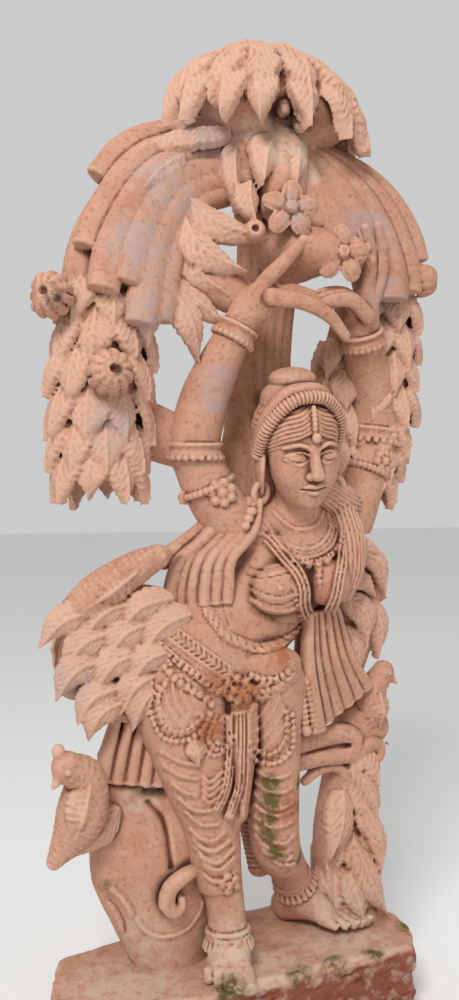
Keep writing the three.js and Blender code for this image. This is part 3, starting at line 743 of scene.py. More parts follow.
def arms():
    stone = Stone("arms", (-110, -124, 740), (324, 60, 1250), 2.7, adaptivity=0.04)
    limb(stone, [[60, -8, 702], [8, -8, 752], [-32, -4, 806], [-57, 0, 866], [-60, -2, 888]],
         [[40, 38], [44, 42], [41, 39], [38, 37], [36, 35]], blend=10)
    limb(stone, [[-62, 2, 874], [-58, -8, 905], [-44, -14, 958], [-26, -32, 1010], [0, -46, 1066]],
         [[36, 36], [39, 38], [37, 36], [31, 30], [24, 25]], blend=12)
    limb(stone, [[172, -8, 708], [206, -4, 756], [236, 4, 822], [262, 8, 884], [268, 6, 920]],
         [[40, 38], [44, 42], [43, 41], [42, 40], [40, 38]], blend=10)
    limb(stone, [[268, 8, 905], [266, 5, 942], [250, -8, 990], [226, -28, 1034], [210, -46, 1070]],
         [[38, 36], [43, 41], [40, 38], [33, 32], [27, 27]], blend=12)
    arm_band(stone, [-59, -4, 872], (0.02, 0.06, -1), 38)
    arm_band(stone, [266, 7, 904], (-0.12, 0.02, -1), 42)
    arm_band(stone, [-8, -42, 1048], (-0.42, 0.2, -0.9), 28)
    arm_band(stone, [214, -42, 1056], (0.4, 0.32, -0.86), 30)
    flower_boss(stone, [-32, -44, 806], (-0.3, -1, 0.1), 22)
    limb(stone, ring_points([-40, -3, 815], (0.45, 0, -1), 42), [[5, 5]] * 2, blend=1,
            relief=beaded(2, 8))
    flower_boss(stone, [262, -32, 858], (0.1, -1, 0.1), 20)
    limb(stone, ring_points([246, 6, 844], (-0.35, 0, -1), 44), [[5, 5]] * 2, blend=1,
            relief=beaded(2, 8))
    hand_right = [
        ([[0, -44, 1062], [14, -54, 1086], [48, -66, 1106]], [[24, 22], [30, 18], [22, 12]], 8),
        ([[12, -58, 1092], [30, -72, 1124], [52, -84, 1150], [80, -92, 1182]],
        [[15, 13], [13, 12], [11, 10], [9, 9]], 5),
    ]
    for n in range(4):
        y = -62 - 9 * n
        hand_right.append(
            ([[30, y + 4, 1104 - 3 * n], [76, y - 8, 1110 - 7 * n], [118, y - 12, 1096 - 8 * n],
            [152, y - 6, 1062 - 6 * n]],
             [[13, 10], [12, 9], [11, 8], [8, 6]], 1.5))
    hand_left = [
        ([[210, -46, 1064], [204, -58, 1094], [190, -66, 1108]], [[28, 22], [31, 18], [26, 14]], 8),
        ([[214, -62, 1096], [226, -74, 1140], [226, -82, 1184], [214, -88, 1222]],
        [[13, 11], [11, 10], [10, 9], [8, 7]], 3),
        ([[202, -66, 1104], [206, -76, 1148], [202, -84, 1188], [190, -88, 1216]],
        [[13, 11], [11, 10], [10, 9], [8, 7]], 3),
    ]
    for n in range(3):
        y = -68 - 9 * n
        hand_left.append(
            ([[200, y + 4, 1092 - 6 * n], [166, y - 6, 1112 - 6 * n], [130, y - 8, 1112 - 8 * n],
            [106, y - 2, 1106 - 9 * n]],
             [[13, 10], [12, 9], [10, 8], [7, 6]], 1.5))
    for points, sizes, blend in hand_right + hand_left:
        limb(stone, points, sizes, blend=blend)
    return stone


# Her head, drawn upright round its own centre and then bowed and turned. The face is a plain one.
HEAD_CENTRE = np.array([90, -54, 868])
HEAD_TURN = (12, -5, -5)


def head():
    stone = Stone("head", (-10, -150, 720), (190, 60, 1020), 1.8, adaptivity=0.03)
    matrix = turn_matrix(HEAD_TURN)
    place = lambda p: matrix @ np.array(p, float) + HEAD_CENTRE
    front = matrix @ FRONT

    def lump(centre, radii, blend, cut=False, turn=(0, 0, 0)):
        angles = tuple(a + b for a, b in zip(HEAD_TURN, turn))
        ball(stone, place(centre), radii, turn=angles, blend=blend, cut=cut)

    def strand(points, sizes, blend, cut=False, relief=None, blunt=1.0):
        limb(stone, [place(p) for p in points], sizes, face=front, blend=blend, cut=cut, relief=relief,
                blunt=blunt)

    lump((0, 8, 28), (58, 68, 62), 0)
    lump((0, -18, -12), (50, 48, 60), 16)
    lump((0, -34, -50), (31, 27, 28), 22)
    lump((0, -50, -66), (13, 9, 10), 12)
    for s in (-1, 1):
        lump((27 * s, -42, -22), (19, 15, 20), 16)
        lump((22 * s, -66, 4), (17, 9, 9), 10, cut=True)
        lump((23 * s, -52, 2), (17, 12, 10), 4)
        strand([(7 * s, -65, 15), (22 * s, -63, 22), (44 * s, -46, 16)], [[2.5, 3], [3, 3.5], [2, 2]], 5)
        strand([(9 * s, -63, -2), (22 * s, -65.5, -5), (41 * s, -51, 1)], [[1.2, 2.4]] * 2, 1.5, cut=True)
        strand([(9 * s, -61, -1), (22 * s, -63, -8), (42 * s, -50, 0)], [[2, 2]] * 2, 3)
        strand([(9 * s, -62, 6), (23 * s, -65, 12), (43 * s, -49, 5)], [[1.2, 1.6]] * 2, 2)
    strand([(0, -60, 16), (0, -68, -4), (0, -76, -22)], [[6, 7], [7, 8], [10, 9]], 7)
    for s in (-1, 1):
        lump((8.5 * s, -68, -25), (6.5, 7, 6), 3)
    strand([(-19, -56, -44), (-8, -65, -40), (0, -66, -42), (8, -65, -40), (19, -56, -44)],
           [[2, 3], [3.5, 5], [3.5, 5], [3.5, 5], [2, 3]], 2)
    strand([(-15, -56, -48), (0, -63, -51), (15, -56, -48)], [[2, 3], [4.5, 6], [2, 3]], 2)
    strand([(-20, -58, -44.5), (0, -70, -45.5), (20, -58, -44.5)], [[1, 3]] * 2, 1, cut=True)
    # The hair, combed in waves from a parting and held by a ribbed band.
    def waves(x, y, z):
        p = np.stack(np.broadcast_arrays(x - HEAD_CENTRE[0], y - HEAD_CENTRE[1], z - HEAD_CENTRE[2]),
                -1) @ matrix
        across = np.abs(p[..., 0])
        return 1.1 * np.cos(2 * math.pi * (p[..., 2] + 0.55 * across + 3 * np.sin(across / 9)) / 6.5)

    cap = Stone("hair", (-10, -150, 720), (190, 60, 1020), 1.8)
    ball(cap, place((0, 10, 34)), (65, 74, 66), turn=HEAD_TURN, blend=0, relief=waves)
    ball(cap, place((0, -66, -26)), (52, 52, 62), turn=HEAD_TURN, blend=3, cut=True)
    stone.field = smooth_min(stone.field, cap.field, 1.5)
    strand([(-64, 0, 2), (-60, -26, 44), (-34, -44, 80), (0, -50, 90), (34, -44, 80), (60, -26, 44),
            (64, 0, 2)],
           [[9, 9]] * 2, 2, relief=ridged(1.6, 6, 1.0))
    strand([(-60, 14, 6), (-56, -8, 54), (-30, -24, 92), (0, -30, 100), (30, -24, 92), (56, -8, 54),
            (60, 14, 6)],
           [[10, 12]] * 2, 3)
    lump((0, 18, 84), (50, 50, 28), 10)
    lump((0, 20, 112), (36, 36, 17), 5)
    strand([(0, -62, 34), (0, -64, 50), (0, -58, 76)], [[3.5, 4]] * 2, 1, relief=beaded(1.5, 7))
    lump((0, -70, 32), (7, 6, 8), 1)
    for s in (-1, 1):
        strand([(58 * s, 4, 6), (62 * s, 0, -20), (60 * s, 2, -50), (58 * s, 4, -58)],
                [[6, 14], [6, 16], [5, 9], [4, 6]], 4)
        strand([place_ring for place_ring in ring_points((62 * s, -2, -58), (0.5 * s, 1, 0), 15)],
                [[5, 5]] * 2, 2)
    return stone


# The tree.
def fan(stone, upper, lower, shares, depth, bulge, width=0.8, blend=2):
    """Ridges spread side by side between two edge lines, each with its share of the full length."""
    rows = 26
    edges = []
    for edge in (upper, lower):
        line = curve(edge, 4)
        places = np.linspace(0, len(line) - 1, rows)
        edges.append(np.stack([np.interp(places, range(len(line)), line[:, k]) for k in range(3)], 1))
    gap = np.linalg.norm(edges[0] - edges[1], axis=1) / (len(shares) - 1)
    for n, share in enumerate(shares):
        f = n / (len(shares) - 1)
        ridge = edges[0] * (1 - f) + edges[1] * f
        ridge = ridge + FRONT * (bulge * np.sin(math.pi * f) * np.linspace(0.2, 1, rows))[:, None]
        last = max(4, int(rows * share))
        half = np.maximum(gap[:last] * width, 4)
        half[-2:] *= 0.9
        sizes = np.stack([half, np.full(last, depth)], 1)
        limb(stone, ridge[:last:2] if last % 2 else np.vstack([ridge[:last:2], ridge[last - 1 : last]]),
             sizes[:last:2] if last % 2 else np.vstack([sizes[:last:2], sizes[last - 1 : last]]),
             blend=blend, blunt=0.25)


def foliage(stone, line, radii, tops, count, length, width, squash=0.8, lean=(0, 0), seed=0):
    """Tiers of overlapping leaves that hang round an upright line."""
    line = np.array(line, float)
    order = np.argsort(line[:, 2])
    for row, top in enumerate(tops):
        x, y, wide, deep = (np.interp(top, line[order, 2], column[order])
                            for column in (line[:, 0], line[:, 1], *np.array(radii, float).T))
        for n in range(count):
            shift = 0.12 * wobble(7 * n + 31 * row + seed)
            angle = 2 * math.pi * (n + 0.5 * (row % 2) + shift) / count
            out = np.array([math.cos(angle), -squash * math.sin(angle), 0])
            flat = np.array([wide * math.cos(angle), -deep * math.sin(angle), 0])
            root = np.array([x, y, top]) + flat * 0.78
            drop = length * (1 + 0.12 * wobble(3 * n + 17 * row + seed))
            tip = np.array([x + lean[0], y + lean[1], top - drop]) + flat * 1.12
            middle = (root + tip) / 2 + unit(out) * 8
            leaf(stone, [root, middle, tip], width * (1 + 0.1 * wobble(5 * n + row)), face=unit(out))


def left_bough():
    stone = Stone("left_bough", (-320, -120, 770), (60, 84, 1400), 2.9, adaptivity=0.05)
    limb(stone, [[20, 14, 1350], [-100, 10, 1280], [-176, 0, 1180], [-204, -2, 1080], [-208, -4, 960],
            [-206, -4, 850]],
         [[40, 34], [56, 34], [66, 36], [64, 40], [60, 40], [48, 28]], blend=4)
    foliage(stone, [[-196, -4, 1130], [-208, -4, 1000], [-208, -4, 860]], [[66, 42], [74, 48], [62, 40]],
            [1118, 1066, 1014, 962, 914, 872], 8, 84, 62)
    fan(stone, [[16, 22, 1372], [-95, 10, 1352], [-176, 0, 1304], [-248, -8, 1196], [-280, -22, 1104]],
        [[6, -2, 1270], [-62, -22, 1238], [-100, -34, 1186], [-124, -44, 1120], [-136, -48, 1030]],
        [0.62, 0.86, 0.97, 0.9, 1.0, 0.95], 17, 30)
    # Broken ledges where the bough leaves the crown.
    leaf(stone, [[10, -6, 1372], [-60, -10, 1366], [-112, -2, 1346]], 46, thick=10,
            face=unit([0, -0.7, 0.7]), blend=2, vein=12)
    leaf(stone, [[-10, -20, 1356], [-90, -26, 1334], [-158, -18, 1298]], 52, thick=10,
            face=unit([-0.2, -0.7, 0.7]), blend=2,
         vein=12)
    leaf(stone, [[-90, -34, 1300], [-136, -42, 1262], [-160, -42, 1226]], 40, thick=9,
            face=unit([-0.3, -0.9, 0.3]), blend=2,
         vein=12)
    limb(stone, [[-190, 16, 930], [-136, 20, 904], [-66, 12, 880]], [[48, 30], [44, 28], [40, 24]],
            blend=8)
    for centre, out in (([-288, -38, 1078], (-0.55, -0.85, 0)), ([-212, -70, 972], (-0.1, -1, 0.05))):
        bud(stone, centre, out, 30)
    leaf(stone, [[-126, -50, 1120], [-150, -64, 1060], [-150, -48, 1008]], 56, blend=2, face=FRONT)
    leaf(stone, [[-118, -46, 1110], [-84, -54, 1050], [-64, -30, 996]], 52, blend=2, face=FRONT)
    leaf(stone, [[-112, -40, 1120], [-60, -44, 1080], [-18, -36, 1052]], 44, blend=2, face=FRONT)
    return stone


def bud(stone, centre, out, radius):
    """A round bud with petals that meet in its middle."""
    out = unit(out)
    centre = np.array(centre, float)
    ball(stone, centre, [radius * 0.88] * 3, blend=4)
    side = unit(np.cross(out, UP))
    rise = np.cross(side, out)
    for n in range(11):
        angle = 2 * math.pi * n / 11
        towards = side * math.cos(angle) + rise * math.sin(angle)
        points = [centre + radius * (towards * c + out * s) for c,
                s in ((0.98, -0.1), (0.84, 0.5), (0.5, 0.84), (0.14, 0.9))]
        limb(stone, points, [[7.4, 5], [7, 5], [5, 5], [2.5, 4]], face=out, blend=0.8)
    ball(stone, centre + out * radius * 0.98, [6, 6, 6], blend=1, cut=True)


def right_bough():
    stone = Stone("right_bough", (60, -118, 740), (366, 84, 1404), 2.9, adaptivity=0.05)
    limb(stone, [[110, 14, 1370], [190, 10, 1300], [262, 4, 1200], [286, 6, 1080], [284, 8, 960],
            [262, 14, 860]],
         [[34, 34], [44, 34], [48, 36], [42, 36], [42, 36], [32, 26]], blend=4)
    foliage(stone, [[292, 2, 1150], [286, 8, 990], [262, 14, 850]], [[52, 42], [56, 42], [40, 32]],
            [1140, 1090, 1040, 990, 940, 896, 856], 7, 76, 54, seed=5)
    fan(stone, [[132, 22, 1386], [244, 0, 1328], [304, -12, 1262], [332, -26, 1170], [330, -34, 1080]],
        [[85, -12, 1351], [104, -34, 1275], [124, -46, 1215], [138, -54, 1170], [150, -56, 1140]],
        [0.74, 0.92, 0.98, 0.86, 0.78, 0.68], 16, 26)
    leaf(stone, [[170, -20, 1330], [214, -34, 1296], [246, -34, 1250]], 34, thick=9,
            face=unit([0.3, -0.9, 0.4]), blend=2)
    leaf(stone, [[236, 0, 1330], [290, -12, 1286], [322, -14, 1232]], 34, thick=9,
            face=unit([0.4, -0.8, 0.5]), blend=2)
    bud(stone, [334, -36, 1160], (0.8, -0.6, 0), 24)
    limb(stone, [[236, 20, 1110], [204, 22, 980], [196, 16, 880], [176, 10, 770]],
            [[34, 30], [34, 30], [40, 30], [30, 26]],
         blend=8)
    foliage(stone, [[214, 22, 1080], [200, 20, 930], [186, 14, 800]], [[38, 34], [40, 34], [36, 32]],
            [1060, 1006, 952, 898], 5, 76, 50, seed=9)
    return stone


CROWN_MIDDLE = (66, 0)


def crown():
    stone = Stone("crown", (-140, -124, 1316), (268, 118, 1518), 2.6, adaptivity=0.05)
    x, y = CROWN_MIDDLE
    ball(stone, [x, y, 1418], [150, 80, 76], blend=0)
    ball(stone, [74, -98, 1366], [64, 56, 42], blend=6, cut=True)
    limb(stone, [[70, -40, 1410], [64, -58, 1396], [60, -66, 1384]], [[14, 14], [13, 13], [11, 11]],
            blend=3)
    limb(stone, [[96, -40, 1394], [92, -56, 1376], [90, -62, 1366]], [[15, 15], [14, 14], [11, 11]],
            blend=3)
    tiers = [(1503, 0.06, 0.54, 8, 58, 62), (1496, 0.30, 0.82, 11, 84, 66),
            (1476, 0.52, 0.96, 13, 96, 66),
             (1444, 0.66, 1.0, 15, 96, 62)]
    for row, (top, near, far, count, drop, width) in enumerate(tiers):
        for n in range(count):
            angle = 2 * math.pi * (n + 0.5 * (row % 2) + 0.16 * wobble(n + 20 * row)) / count
            out = np.array([math.cos(angle), -0.58 * math.sin(angle), 0])
            root = np.array([x, y, top]) + out * 168 * near
            tip = np.array([x, y, top - drop + 9 * wobble(7 * n + row)]) + out * 176 * far
            middle = (root + tip) / 2 + unit(out) * 15 + UP * 12
            size = width * (1 + 0.1 * wobble(3 * n + row))
            leaf(stone, [root, middle, tip], size, thick=7, back=14, face=unit(out + 0.5 * UP), curl=8,
                    teeth=9,
                 vein=17, lean=1.9, groove_depth=2.6)
    return stone


def blossom(stone, centre, face, radius):
    """A blossom with five round petals, each with a raised rim, and a knobbly boss."""
    out = unit(face)
    centre = np.array(centre, float)
    side = unit(np.cross(out, UP))
    rise = np.cross(side, out)
    for n in range(5):
        angle = 2 * math.pi * n / 5 + 0.4
        towards = side * math.cos(angle) + rise * math.sin(angle)
        points = [centre + towards * radius * c + out * h for c, h in ((0.3, -2), (0.62, 0), (0.88, -4))]
        limb(stone, points, [[radius * 0.3, 7], [radius * 0.36, 8], [radius * 0.3, 6]], face=out,
                blend=0.8, blunt=1.2,
             relief=lambda cells: -2.6 * np.exp(-(((np.abs(cells.u) / cells.a - 0.7) / 0.12) ** 2)))
    ball(stone, centre + out * 4, [radius * 0.24] * 3, blend=1)
    for n in range(6):
        angle = math.pi * n / 3
        knob = centre + out * (5 + radius * 0.14) + (side * math.cos(angle)
                + rise * math.sin(angle)) * radius * 0.14
        ball(stone, knob, [radius * 0.08] * 3, blend=0.5)


def middle_leaves():
    stone = Stone("middle_leaves", (-120, -134, 680), (240, 92, 1404), 2.9, adaptivity=0.05)
    limb(stone, [[74, 30, 690], [72, 46, 800], [78, 54, 920], [86, 52, 1060], [92, 40, 1220],
            [84, 10, 1380]],
         [[58, 32], [76, 30], [62, 28], [48, 30], [60, 40], [84, 52]], blend=4, relief=ridged(1.5, 22))
    limb(stone, [[36, 0, 1392], [24, -14, 1310], [22, -22, 1236]], [[44, 36], [38, 30], [24, 18]],
            blend=6)
    limb(stone, [[80, -8, 1396], [74, -30, 1320], [66, -50, 1240]], [[50, 38], [44, 34], [36, 26]],
            blend=6)
    limb(stone, [[104, 30, 1200], [104, -30, 1186], [120, -80, 1172]], [[60, 54], [54, 50], [44, 32]],
            face=UP, blend=6)
    leaf(stone, [[52, -34, 1352], [30, -60, 1310], [22, -64, 1262]], 54, thick=12, blend=2, vein=16,
            groove_depth=1.2, teeth=2)
    leaf(stone, [[4, -10, 1350], [-10, -34, 1300], [-4, -36, 1226]], 38, thick=10, blend=2, vein=14,
            teeth=3)
    leaf(stone, [[100, -30, 1356], [84, -62, 1312], [72, -74, 1262]], 44, thick=10, blend=3, vein=14,
            teeth=2)
    leaf(stone, [[10, -46, 1270], [4, -60, 1240], [14, -60, 1206]], 44, thick=10, blend=2, vein=12)
    # The scroll leaf that curls under the boughs.
    limb(stone, [[-20, 0, 1290], [-62, -6, 1252], [-88, -12, 1200], [-70, -22, 1150], [-20, -30, 1112],
            [30, -38, 1092]],
         [[20, 24], [26, 28], [32, 30], [34, 30], [32, 28], [24, 20]], blend=6)
    leaf(stone, [[-80, -32, 1236], [-44, -54, 1200], [40, -58, 1186]], 50, thick=12, blend=2, vein=15,
            lean=1.4)
    leaf(stone, [[-96, -26, 1222], [-70, -56, 1160], [4, -62, 1130]], 58, thick=12, blend=2, vein=15,
            lean=1.4)
    leaf(stone, [[-100, -20, 1196], [-74, -46, 1130], [-20, -46, 1096]], 46, thick=10, blend=2, vein=13)
    blossom(stone, [62, -86, 1230], (-0.3, -1, 0.1), 44)
    blossom(stone, [140, -102, 1168], (-0.2, -1, 0.05), 45)
    blossom(stone, [192, -84, 1184], (0.2, -1, 0.2), 32)
    bud(stone, [12, -66, 1196], (-0.4, -1, 0), 12)
    return stone


def scales(size, height):
    """Relief of overlapping scales on a bird's neck."""
    def relief(cells):
        around = np.arctan2(cells.v, cells.u) * (cells.a + cells.b) / 2
        row = np.floor(cells.along / size)
        place = np.mod(around / size + 0.5 * np.mod(row, 2), 1) - 0.5
        down = np.mod(cells.along / size, 1)
        return height * np.clip(down - 2 * place**2, 0, 1)
    return relief


def bird(stone, head, breast, rump, tail, beak, girth, wing_side=FRONT):
    """A perched bird with a scaled neck, a folded wing with a scalloped edge and a long tail."""
    head, breast, rump, tail, beak = (np.array(p, float) for p in (head, breast, rump, tail, beak))
    limb(stone, [head, breast, rump, tail], [[girth * 0.55] * 2, [girth * 0.78] * 2, [girth * 0.92] * 2,
            [girth * 0.3] * 2],
         blend=4, relief=scales(9, 1.8))
    ball(stone, head, [girth * 0.56] * 3, blend=3)
    limb(stone, [head + (beak - head) * 0.3, beak], [[girth * 0.34] * 2, [girth * 0.1] * 2], blend=5)
    eye = head + wing_side * girth * 0.5 + (beak - head) * 0.12
    ball(stone, eye, [girth * 0.14] * 3, blend=0.5)
    root = breast + wing_side * girth * 0.6
    tip = rump * 0.6 + tail * 0.4 + wing_side * girth * 0.55
    middle = (root + tip) / 2 + wing_side * 9
    leaf(stone, [root, middle, tip], girth * 1.45, thick=7, vein=12, teeth=8, notch=0.16, face=wing_side,
            lean=0.4)
    leaf(stone, [root, middle + wing_side * 4, tip * 0.8 + root * 0.2], girth * 0.9, thick=7, vein=8,
            teeth=1, notch=0,
         face=wing_side, lean=0.2)
    for n in range(3):
        spread = UP * (n - 1) * girth * 0.26
        end = tail + (tail - rump) * 0.08 * n + spread
        leaf(stone, [rump + spread * 0.6 + wing_side * 8, (rump + end) / 2 + wing_side * 12,
                end + wing_side * 4],
             girth * 0.56, thick=6, teeth=6, notch=0.12, vein=10, face=wing_side)


def hip_side():
    stone = Stone("hip_side", (-318, -92, 450), (-50, 60, 766), 2.6, adaptivity=0.04)
    limb(stone, [[-90, 0, 600], [-160, -4, 616], [-222, -8, 590], [-244, -6, 530]],
         [[56, 44], [54, 38], [42, 30], [30, 22]], blend=6)
    limb(stone, [[-70, -8, 520], [-140, -10, 516], [-200, -12, 510]], [[62, 48], [56, 38], [34, 26]],
            blend=6)
    bird(stone, [-136, -48, 713], [-172, -42, 694], [-226, -32, 656], [-284, -20, 612], [-100, -46, 728],
            32)
    for row, (x, z) in enumerate(((-214, 648), (-216, 610), (-214, 572), (-204, 538), (-184, 512))):
        for n in range(3):
            shift = wobble(5 * row + n)
            root = np.array([x + 54 * n + 18 * (row % 2) + 8 * shift, -42 - 6 * n,
                    z + 8 * n + 10 * shift])
            tip = root + [-82 + 9 * row, 12, -58 - 8 * shift]
            leaf(stone, [root, (root + tip) / 2 + [-10, -14, 14], tip], 56 + 8 * shift, vein=12)
    leaf(stone, [[-190, 16, 640], [-240, 26, 590], [-262, 18, 510]], 70, thick=9, face=BACK, blend=2)
    leaf(stone, [[-130, 24, 650], [-180, 34, 590], [-214, 24, 500]], 80, thick=9, face=BACK, blend=2)
    leaf(stone, [[-80, 34, 640], [-120, 40, 580], [-150, 32, 490]], 80, thick=9, face=BACK, blend=2)
    return stone


def low_plant():
    stone = Stone("low_plant", (-318, -100, 84), (-20, 80, 476), 2.5, adaptivity=0.03)
    limb(stone, [[-92, 4, 96], [-108, 6, 190], [-126, 8, 270], [-130, 10, 330]],
            [[56, 44], [82, 50], [92, 48], [60, 32]],
         blend=8)
    limb(stone, [[-164, 8, 250], [-180, 12, 330], [-170, 12, 392]], [[50, 36], [42, 30], [34, 26]],
            blend=10)
    limb(stone, [[-84, 2, 250], [-76, 0, 340], [-72, 0, 400]], [[46, 36], [40, 32], [36, 28]], blend=10)
    # Lines cut and raised on the swelling stem.
    emboss(stone, [(-158, 372), (-132, 338), (-122, 290), (-118, 262)], 12, roll(5, -7), back=40)
    emboss(stone, [(-172, 208), (-160, 186), (-140, 172), (-118, 168), (-92, 174), (-72, 196),
            (-68, 214)], 8, roll(2.6, 3.5),
           back=40)
    emboss(stone, [(-212, 256), (-196, 240), (-184, 222), (-176, 204)], 9, roll(4, 5), back=40)
    emboss(stone, [(-214, 242), (-200, 226), (-190, 206), (-186, 184)], 8, roll(3, -3), back=40)
    limb(stone, [[-76, -46, 252], [-98, -56, 250], [-118, -56, 236], [-124, -56, 216], [-114, -56, 202],
            [-102, -54, 206],
                 [-100, -52, 218]],
         [[9, 10], [11, 12], [12, 12], [12, 12], [10, 11], [8, 9], [6, 7]], blend=3)
    limb(stone, [[-100, -52, 220], [-88, -52, 226], [-72, -48, 220], [-62, -44, 208]],
            [[3, 4], [3, 4], [3, 4], [2, 3]],
         blend=2, cut=True)
    bird(stone, [-268, -50, 428], [-240, -40, 402], [-246, -34, 346], [-280, -28, 290], [-288, -58, 404],
            37)
    ball(stone, [-280, -52, 450], [9, 9, 11], blend=3)
    leaf(stone, [[-186, -22, 352], [-216, -34, 320], [-262, -28, 290]], 46, blend=2, teeth=2)
    # The hem of a pleated cloth that hangs behind.
    for n in range(7):
        x = -204 + 20 * n
        limb(stone, [[x + 22, -4 - 3 * n, 480], [x + 8, -4 - 3 * n, 430],
                [x - 2, -6 - 3 * n, 388 - 3 * n]],
             [[7, 14], [11, 16], [13, 16]], blend=1.5, blunt=0.3)
    limb(stone, [[-110, 8, 490], [-124, 8, 440], [-140, 8, 396]], [[60, 18], [66, 18], [74, 16]], blend=3,
            blunt=0.3)
    return stone


def right_plants():
    stone = Stone("right_plants", (84, -96, 84), (340, 84, 840), 2.8, adaptivity=0.04)
    limb(stone, [[84, -10, 392], [160, -4, 396], [222, 0, 408], [268, 2, 420]],
            [[30, 26], [28, 26], [30, 26], [28, 22]],
         blend=6)
    limb(stone, [[86, -34, 412], [140, -30, 418], [186, -26, 420], [210, -28, 408], [206, -30, 392],
            [190, -30, 390]],
         [[16, 12], [16, 12], [16, 12], [13, 11], [9, 9], [6, 6]], blend=3)
    limb(stone, [[86, -34, 382], [150, -30, 386], [206, -26, 384], [240, -22, 396], [262, -20, 388],
            [258, -22, 372],
                 [242, -24, 372]],
         [[13, 10], [13, 10], [13, 10], [12, 10], [10, 9], [8, 8], [5, 6]], blend=3)
    limb(stone, [[120, -22, 350], [150, -20, 366], [186, -18, 362], [204, -18, 330]],
            [[7, 9], [9, 10], [9, 10], [7, 8]],
         blend=3)
    limb(stone, [[222, 4, 430], [206, 5, 320], [198, 6, 230], [228, 4, 100]],
            [[30, 28], [40, 30], [44, 32], [50, 36]],
         blend=6)
    foliage(stone, [[226, 4, 410], [206, 4, 300], [200, 6, 210], [236, 4, 120]],
            [[34, 30], [42, 34], [44, 36], [52, 40]],
            [400, 352, 304, 256, 212, 178], 6, 78, 48, lean=(6, 0), seed=3)
    leaf(stone, [[182, -30, 330], [172, -44, 280], [150, -40, 226]], 54, thick=9, vein=15)
    leaf(stone, [[214, -30, 352], [236, -40, 310], [246, -30, 268]], 32, thick=9, vein=13)
    leaf(stone, [[224, -34, 300], [246, -44, 240], [250, -32, 180]], 36, thick=9, vein=13)
    leaf(stone, [[206, -38, 236], [232, -46, 170], [266, -36, 114]], 46, thick=9, vein=14)
    leaf(stone, [[190, -38, 200], [200, -46, 160], [214, -46, 118]], 40, thick=9, vein=13)
    bird(stone, [274, -12, 512], [256, -6, 478], [254, 0, 438], [270, 2, 396], [292, -22, 492], 30)
    limb(stone, [[180, 4, 700], [226, 4, 704], [256, 0, 676], [268, -4, 636]],
            [[38, 26], [36, 24], [30, 20], [16, 12]],
         blend=4)
    limb(stone, [[196, 10, 680], [226, 10, 620], [230, 10, 560], [216, 12, 500]],
            [[44, 32], [42, 30], [32, 26], [24, 20]],
         blend=4)
    for root, middle, tip, width in (
        ([170, -26, 700], [222, -40, 716], [268, -20, 696], 42),
        ([210, -30, 716], [252, -36, 690], [272, -16, 632], 38),
        ([176, -22, 672], [222, -36, 664], [250, -24, 632], 36),
        ([190, -20, 640], [226, -34, 610], [232, -22, 556], 50),
        ([230, -14, 640], [262, -20, 590], [262, -8, 528], 46),
        ([196, -16, 590], [214, -28, 550], [212, -14, 496], 42),
    ):
        leaf(stone, [root, middle, tip], width, thick=8, vein=13, blend=1.5)
    return stone


# Her scarves.
def pleats(stone, left, right, count, depth, blend=2, blunt=0.4):
    """Rounded folds of cloth side by side between two edge lines."""
    left, right = np.array(left, float), np.array(right, float)
    for n in range(count):
        f = n / (count - 1)
        fold = left * (1 - f) + right * f
        fold = fold + BACK * (3 * wobble(3 * n))
        half = np.linalg.norm(right - left, axis=1) / (count - 1) * 0.62
        limb(stone, fold, np.stack([half, np.full(len(half), depth)], 1), blend=blend, blunt=blunt)


def scarves():
    stone = Stone("scarves", (-180, -112, 410), (268, 54, 870), 2.5, adaptivity=0.04)
    pleats(stone, [[2, -8, 800], [-50, -16, 738], [-92, -20, 704], [-107, -22, 664], [-108, -24, 634]],
           [[32, -36, 795], [18, -42, 748], [-20, -46, 706], [-26, -48, 668], [-28, -48, 644]], 6, 11)
    limb(stone, [[-10, 0, 770], [-60, 2, 726], [-112, -6, 706]], [[20, 16], [24, 16], [16, 12]], blend=4)
    # Drape from the other shoulder, its folds flaring to the hem.
    pleats(stone, [[110, -48, 618], [108, -52, 540], [128, -44, 438]],
            [[172, -22, 622], [192, -28, 550], [232, -18, 490]], 6, 14)
    limb(stone, [[150, -10, 640], [160, 0, 540], [172, 0, 456]], [[34, 16], [48, 16], [58, 16]], blend=3,
            blunt=0.3)
    limb(stone, [[146, -50, 806], [184, -40, 790], [226, -12, 776]], [[22, 18], [26, 20], [18, 14]],
            blend=4,
         relief=ridged(1.8, 8))
    limb(stone, [[172, -44, 790], [186, -54, 740], [184, -60, 690], [170, -58, 650]],
            [[18, 16], [22, 18], [20, 16], [16, 12]],
         blend=4, relief=ridged(1.8, 8))
    # Ropes of beads at the drape's edge.
    for n in range(3):
        limb(stone, [[86 + 12 * n, -66 + 4 * n, 520], [96 + 14 * n, -62 + 4 * n, 480],
                [102 + 16 * n, -58 + 5 * n, 446]],
             [[6, 6]] * 2, blend=1, relief=beaded(3, 9))
        ball(stone, [104 + 16 * n, -58 + 5 * n, 440], [8, 8, 9], blend=2)
    # A tassel on the shoulder.
    for n in range(3):
        ball(stone, [14 - 5 * n, -50, 778 - 11 * n], [9 - n, 8, 7], blend=1)
    return stone


# Turning the blocks into meshes.
def crowding(stone, width):
    """The share of stone within a width of each cell: a half on flats, less on edges, more in hollows."""
    share = np.clip(0.5 - stone.field / stone.cell, 0, 1)
    reach = max(1, int(round(width / stone.cell)))
    for axis in range(3):
        pad = [(0, 0)] * 3
        pad[axis] = (reach + 1, reach)
        total = np.cumsum(np.pad(share, pad, mode="edge"), axis=axis)
        count = share.shape[axis]
        high = np.take(total, range(2 * reach + 1, 2 * reach + 1 + count), axis=axis)
        low = np.take(total, range(0, count), axis=axis)
        share = (high - low) / (2 * reach + 1)
    return share


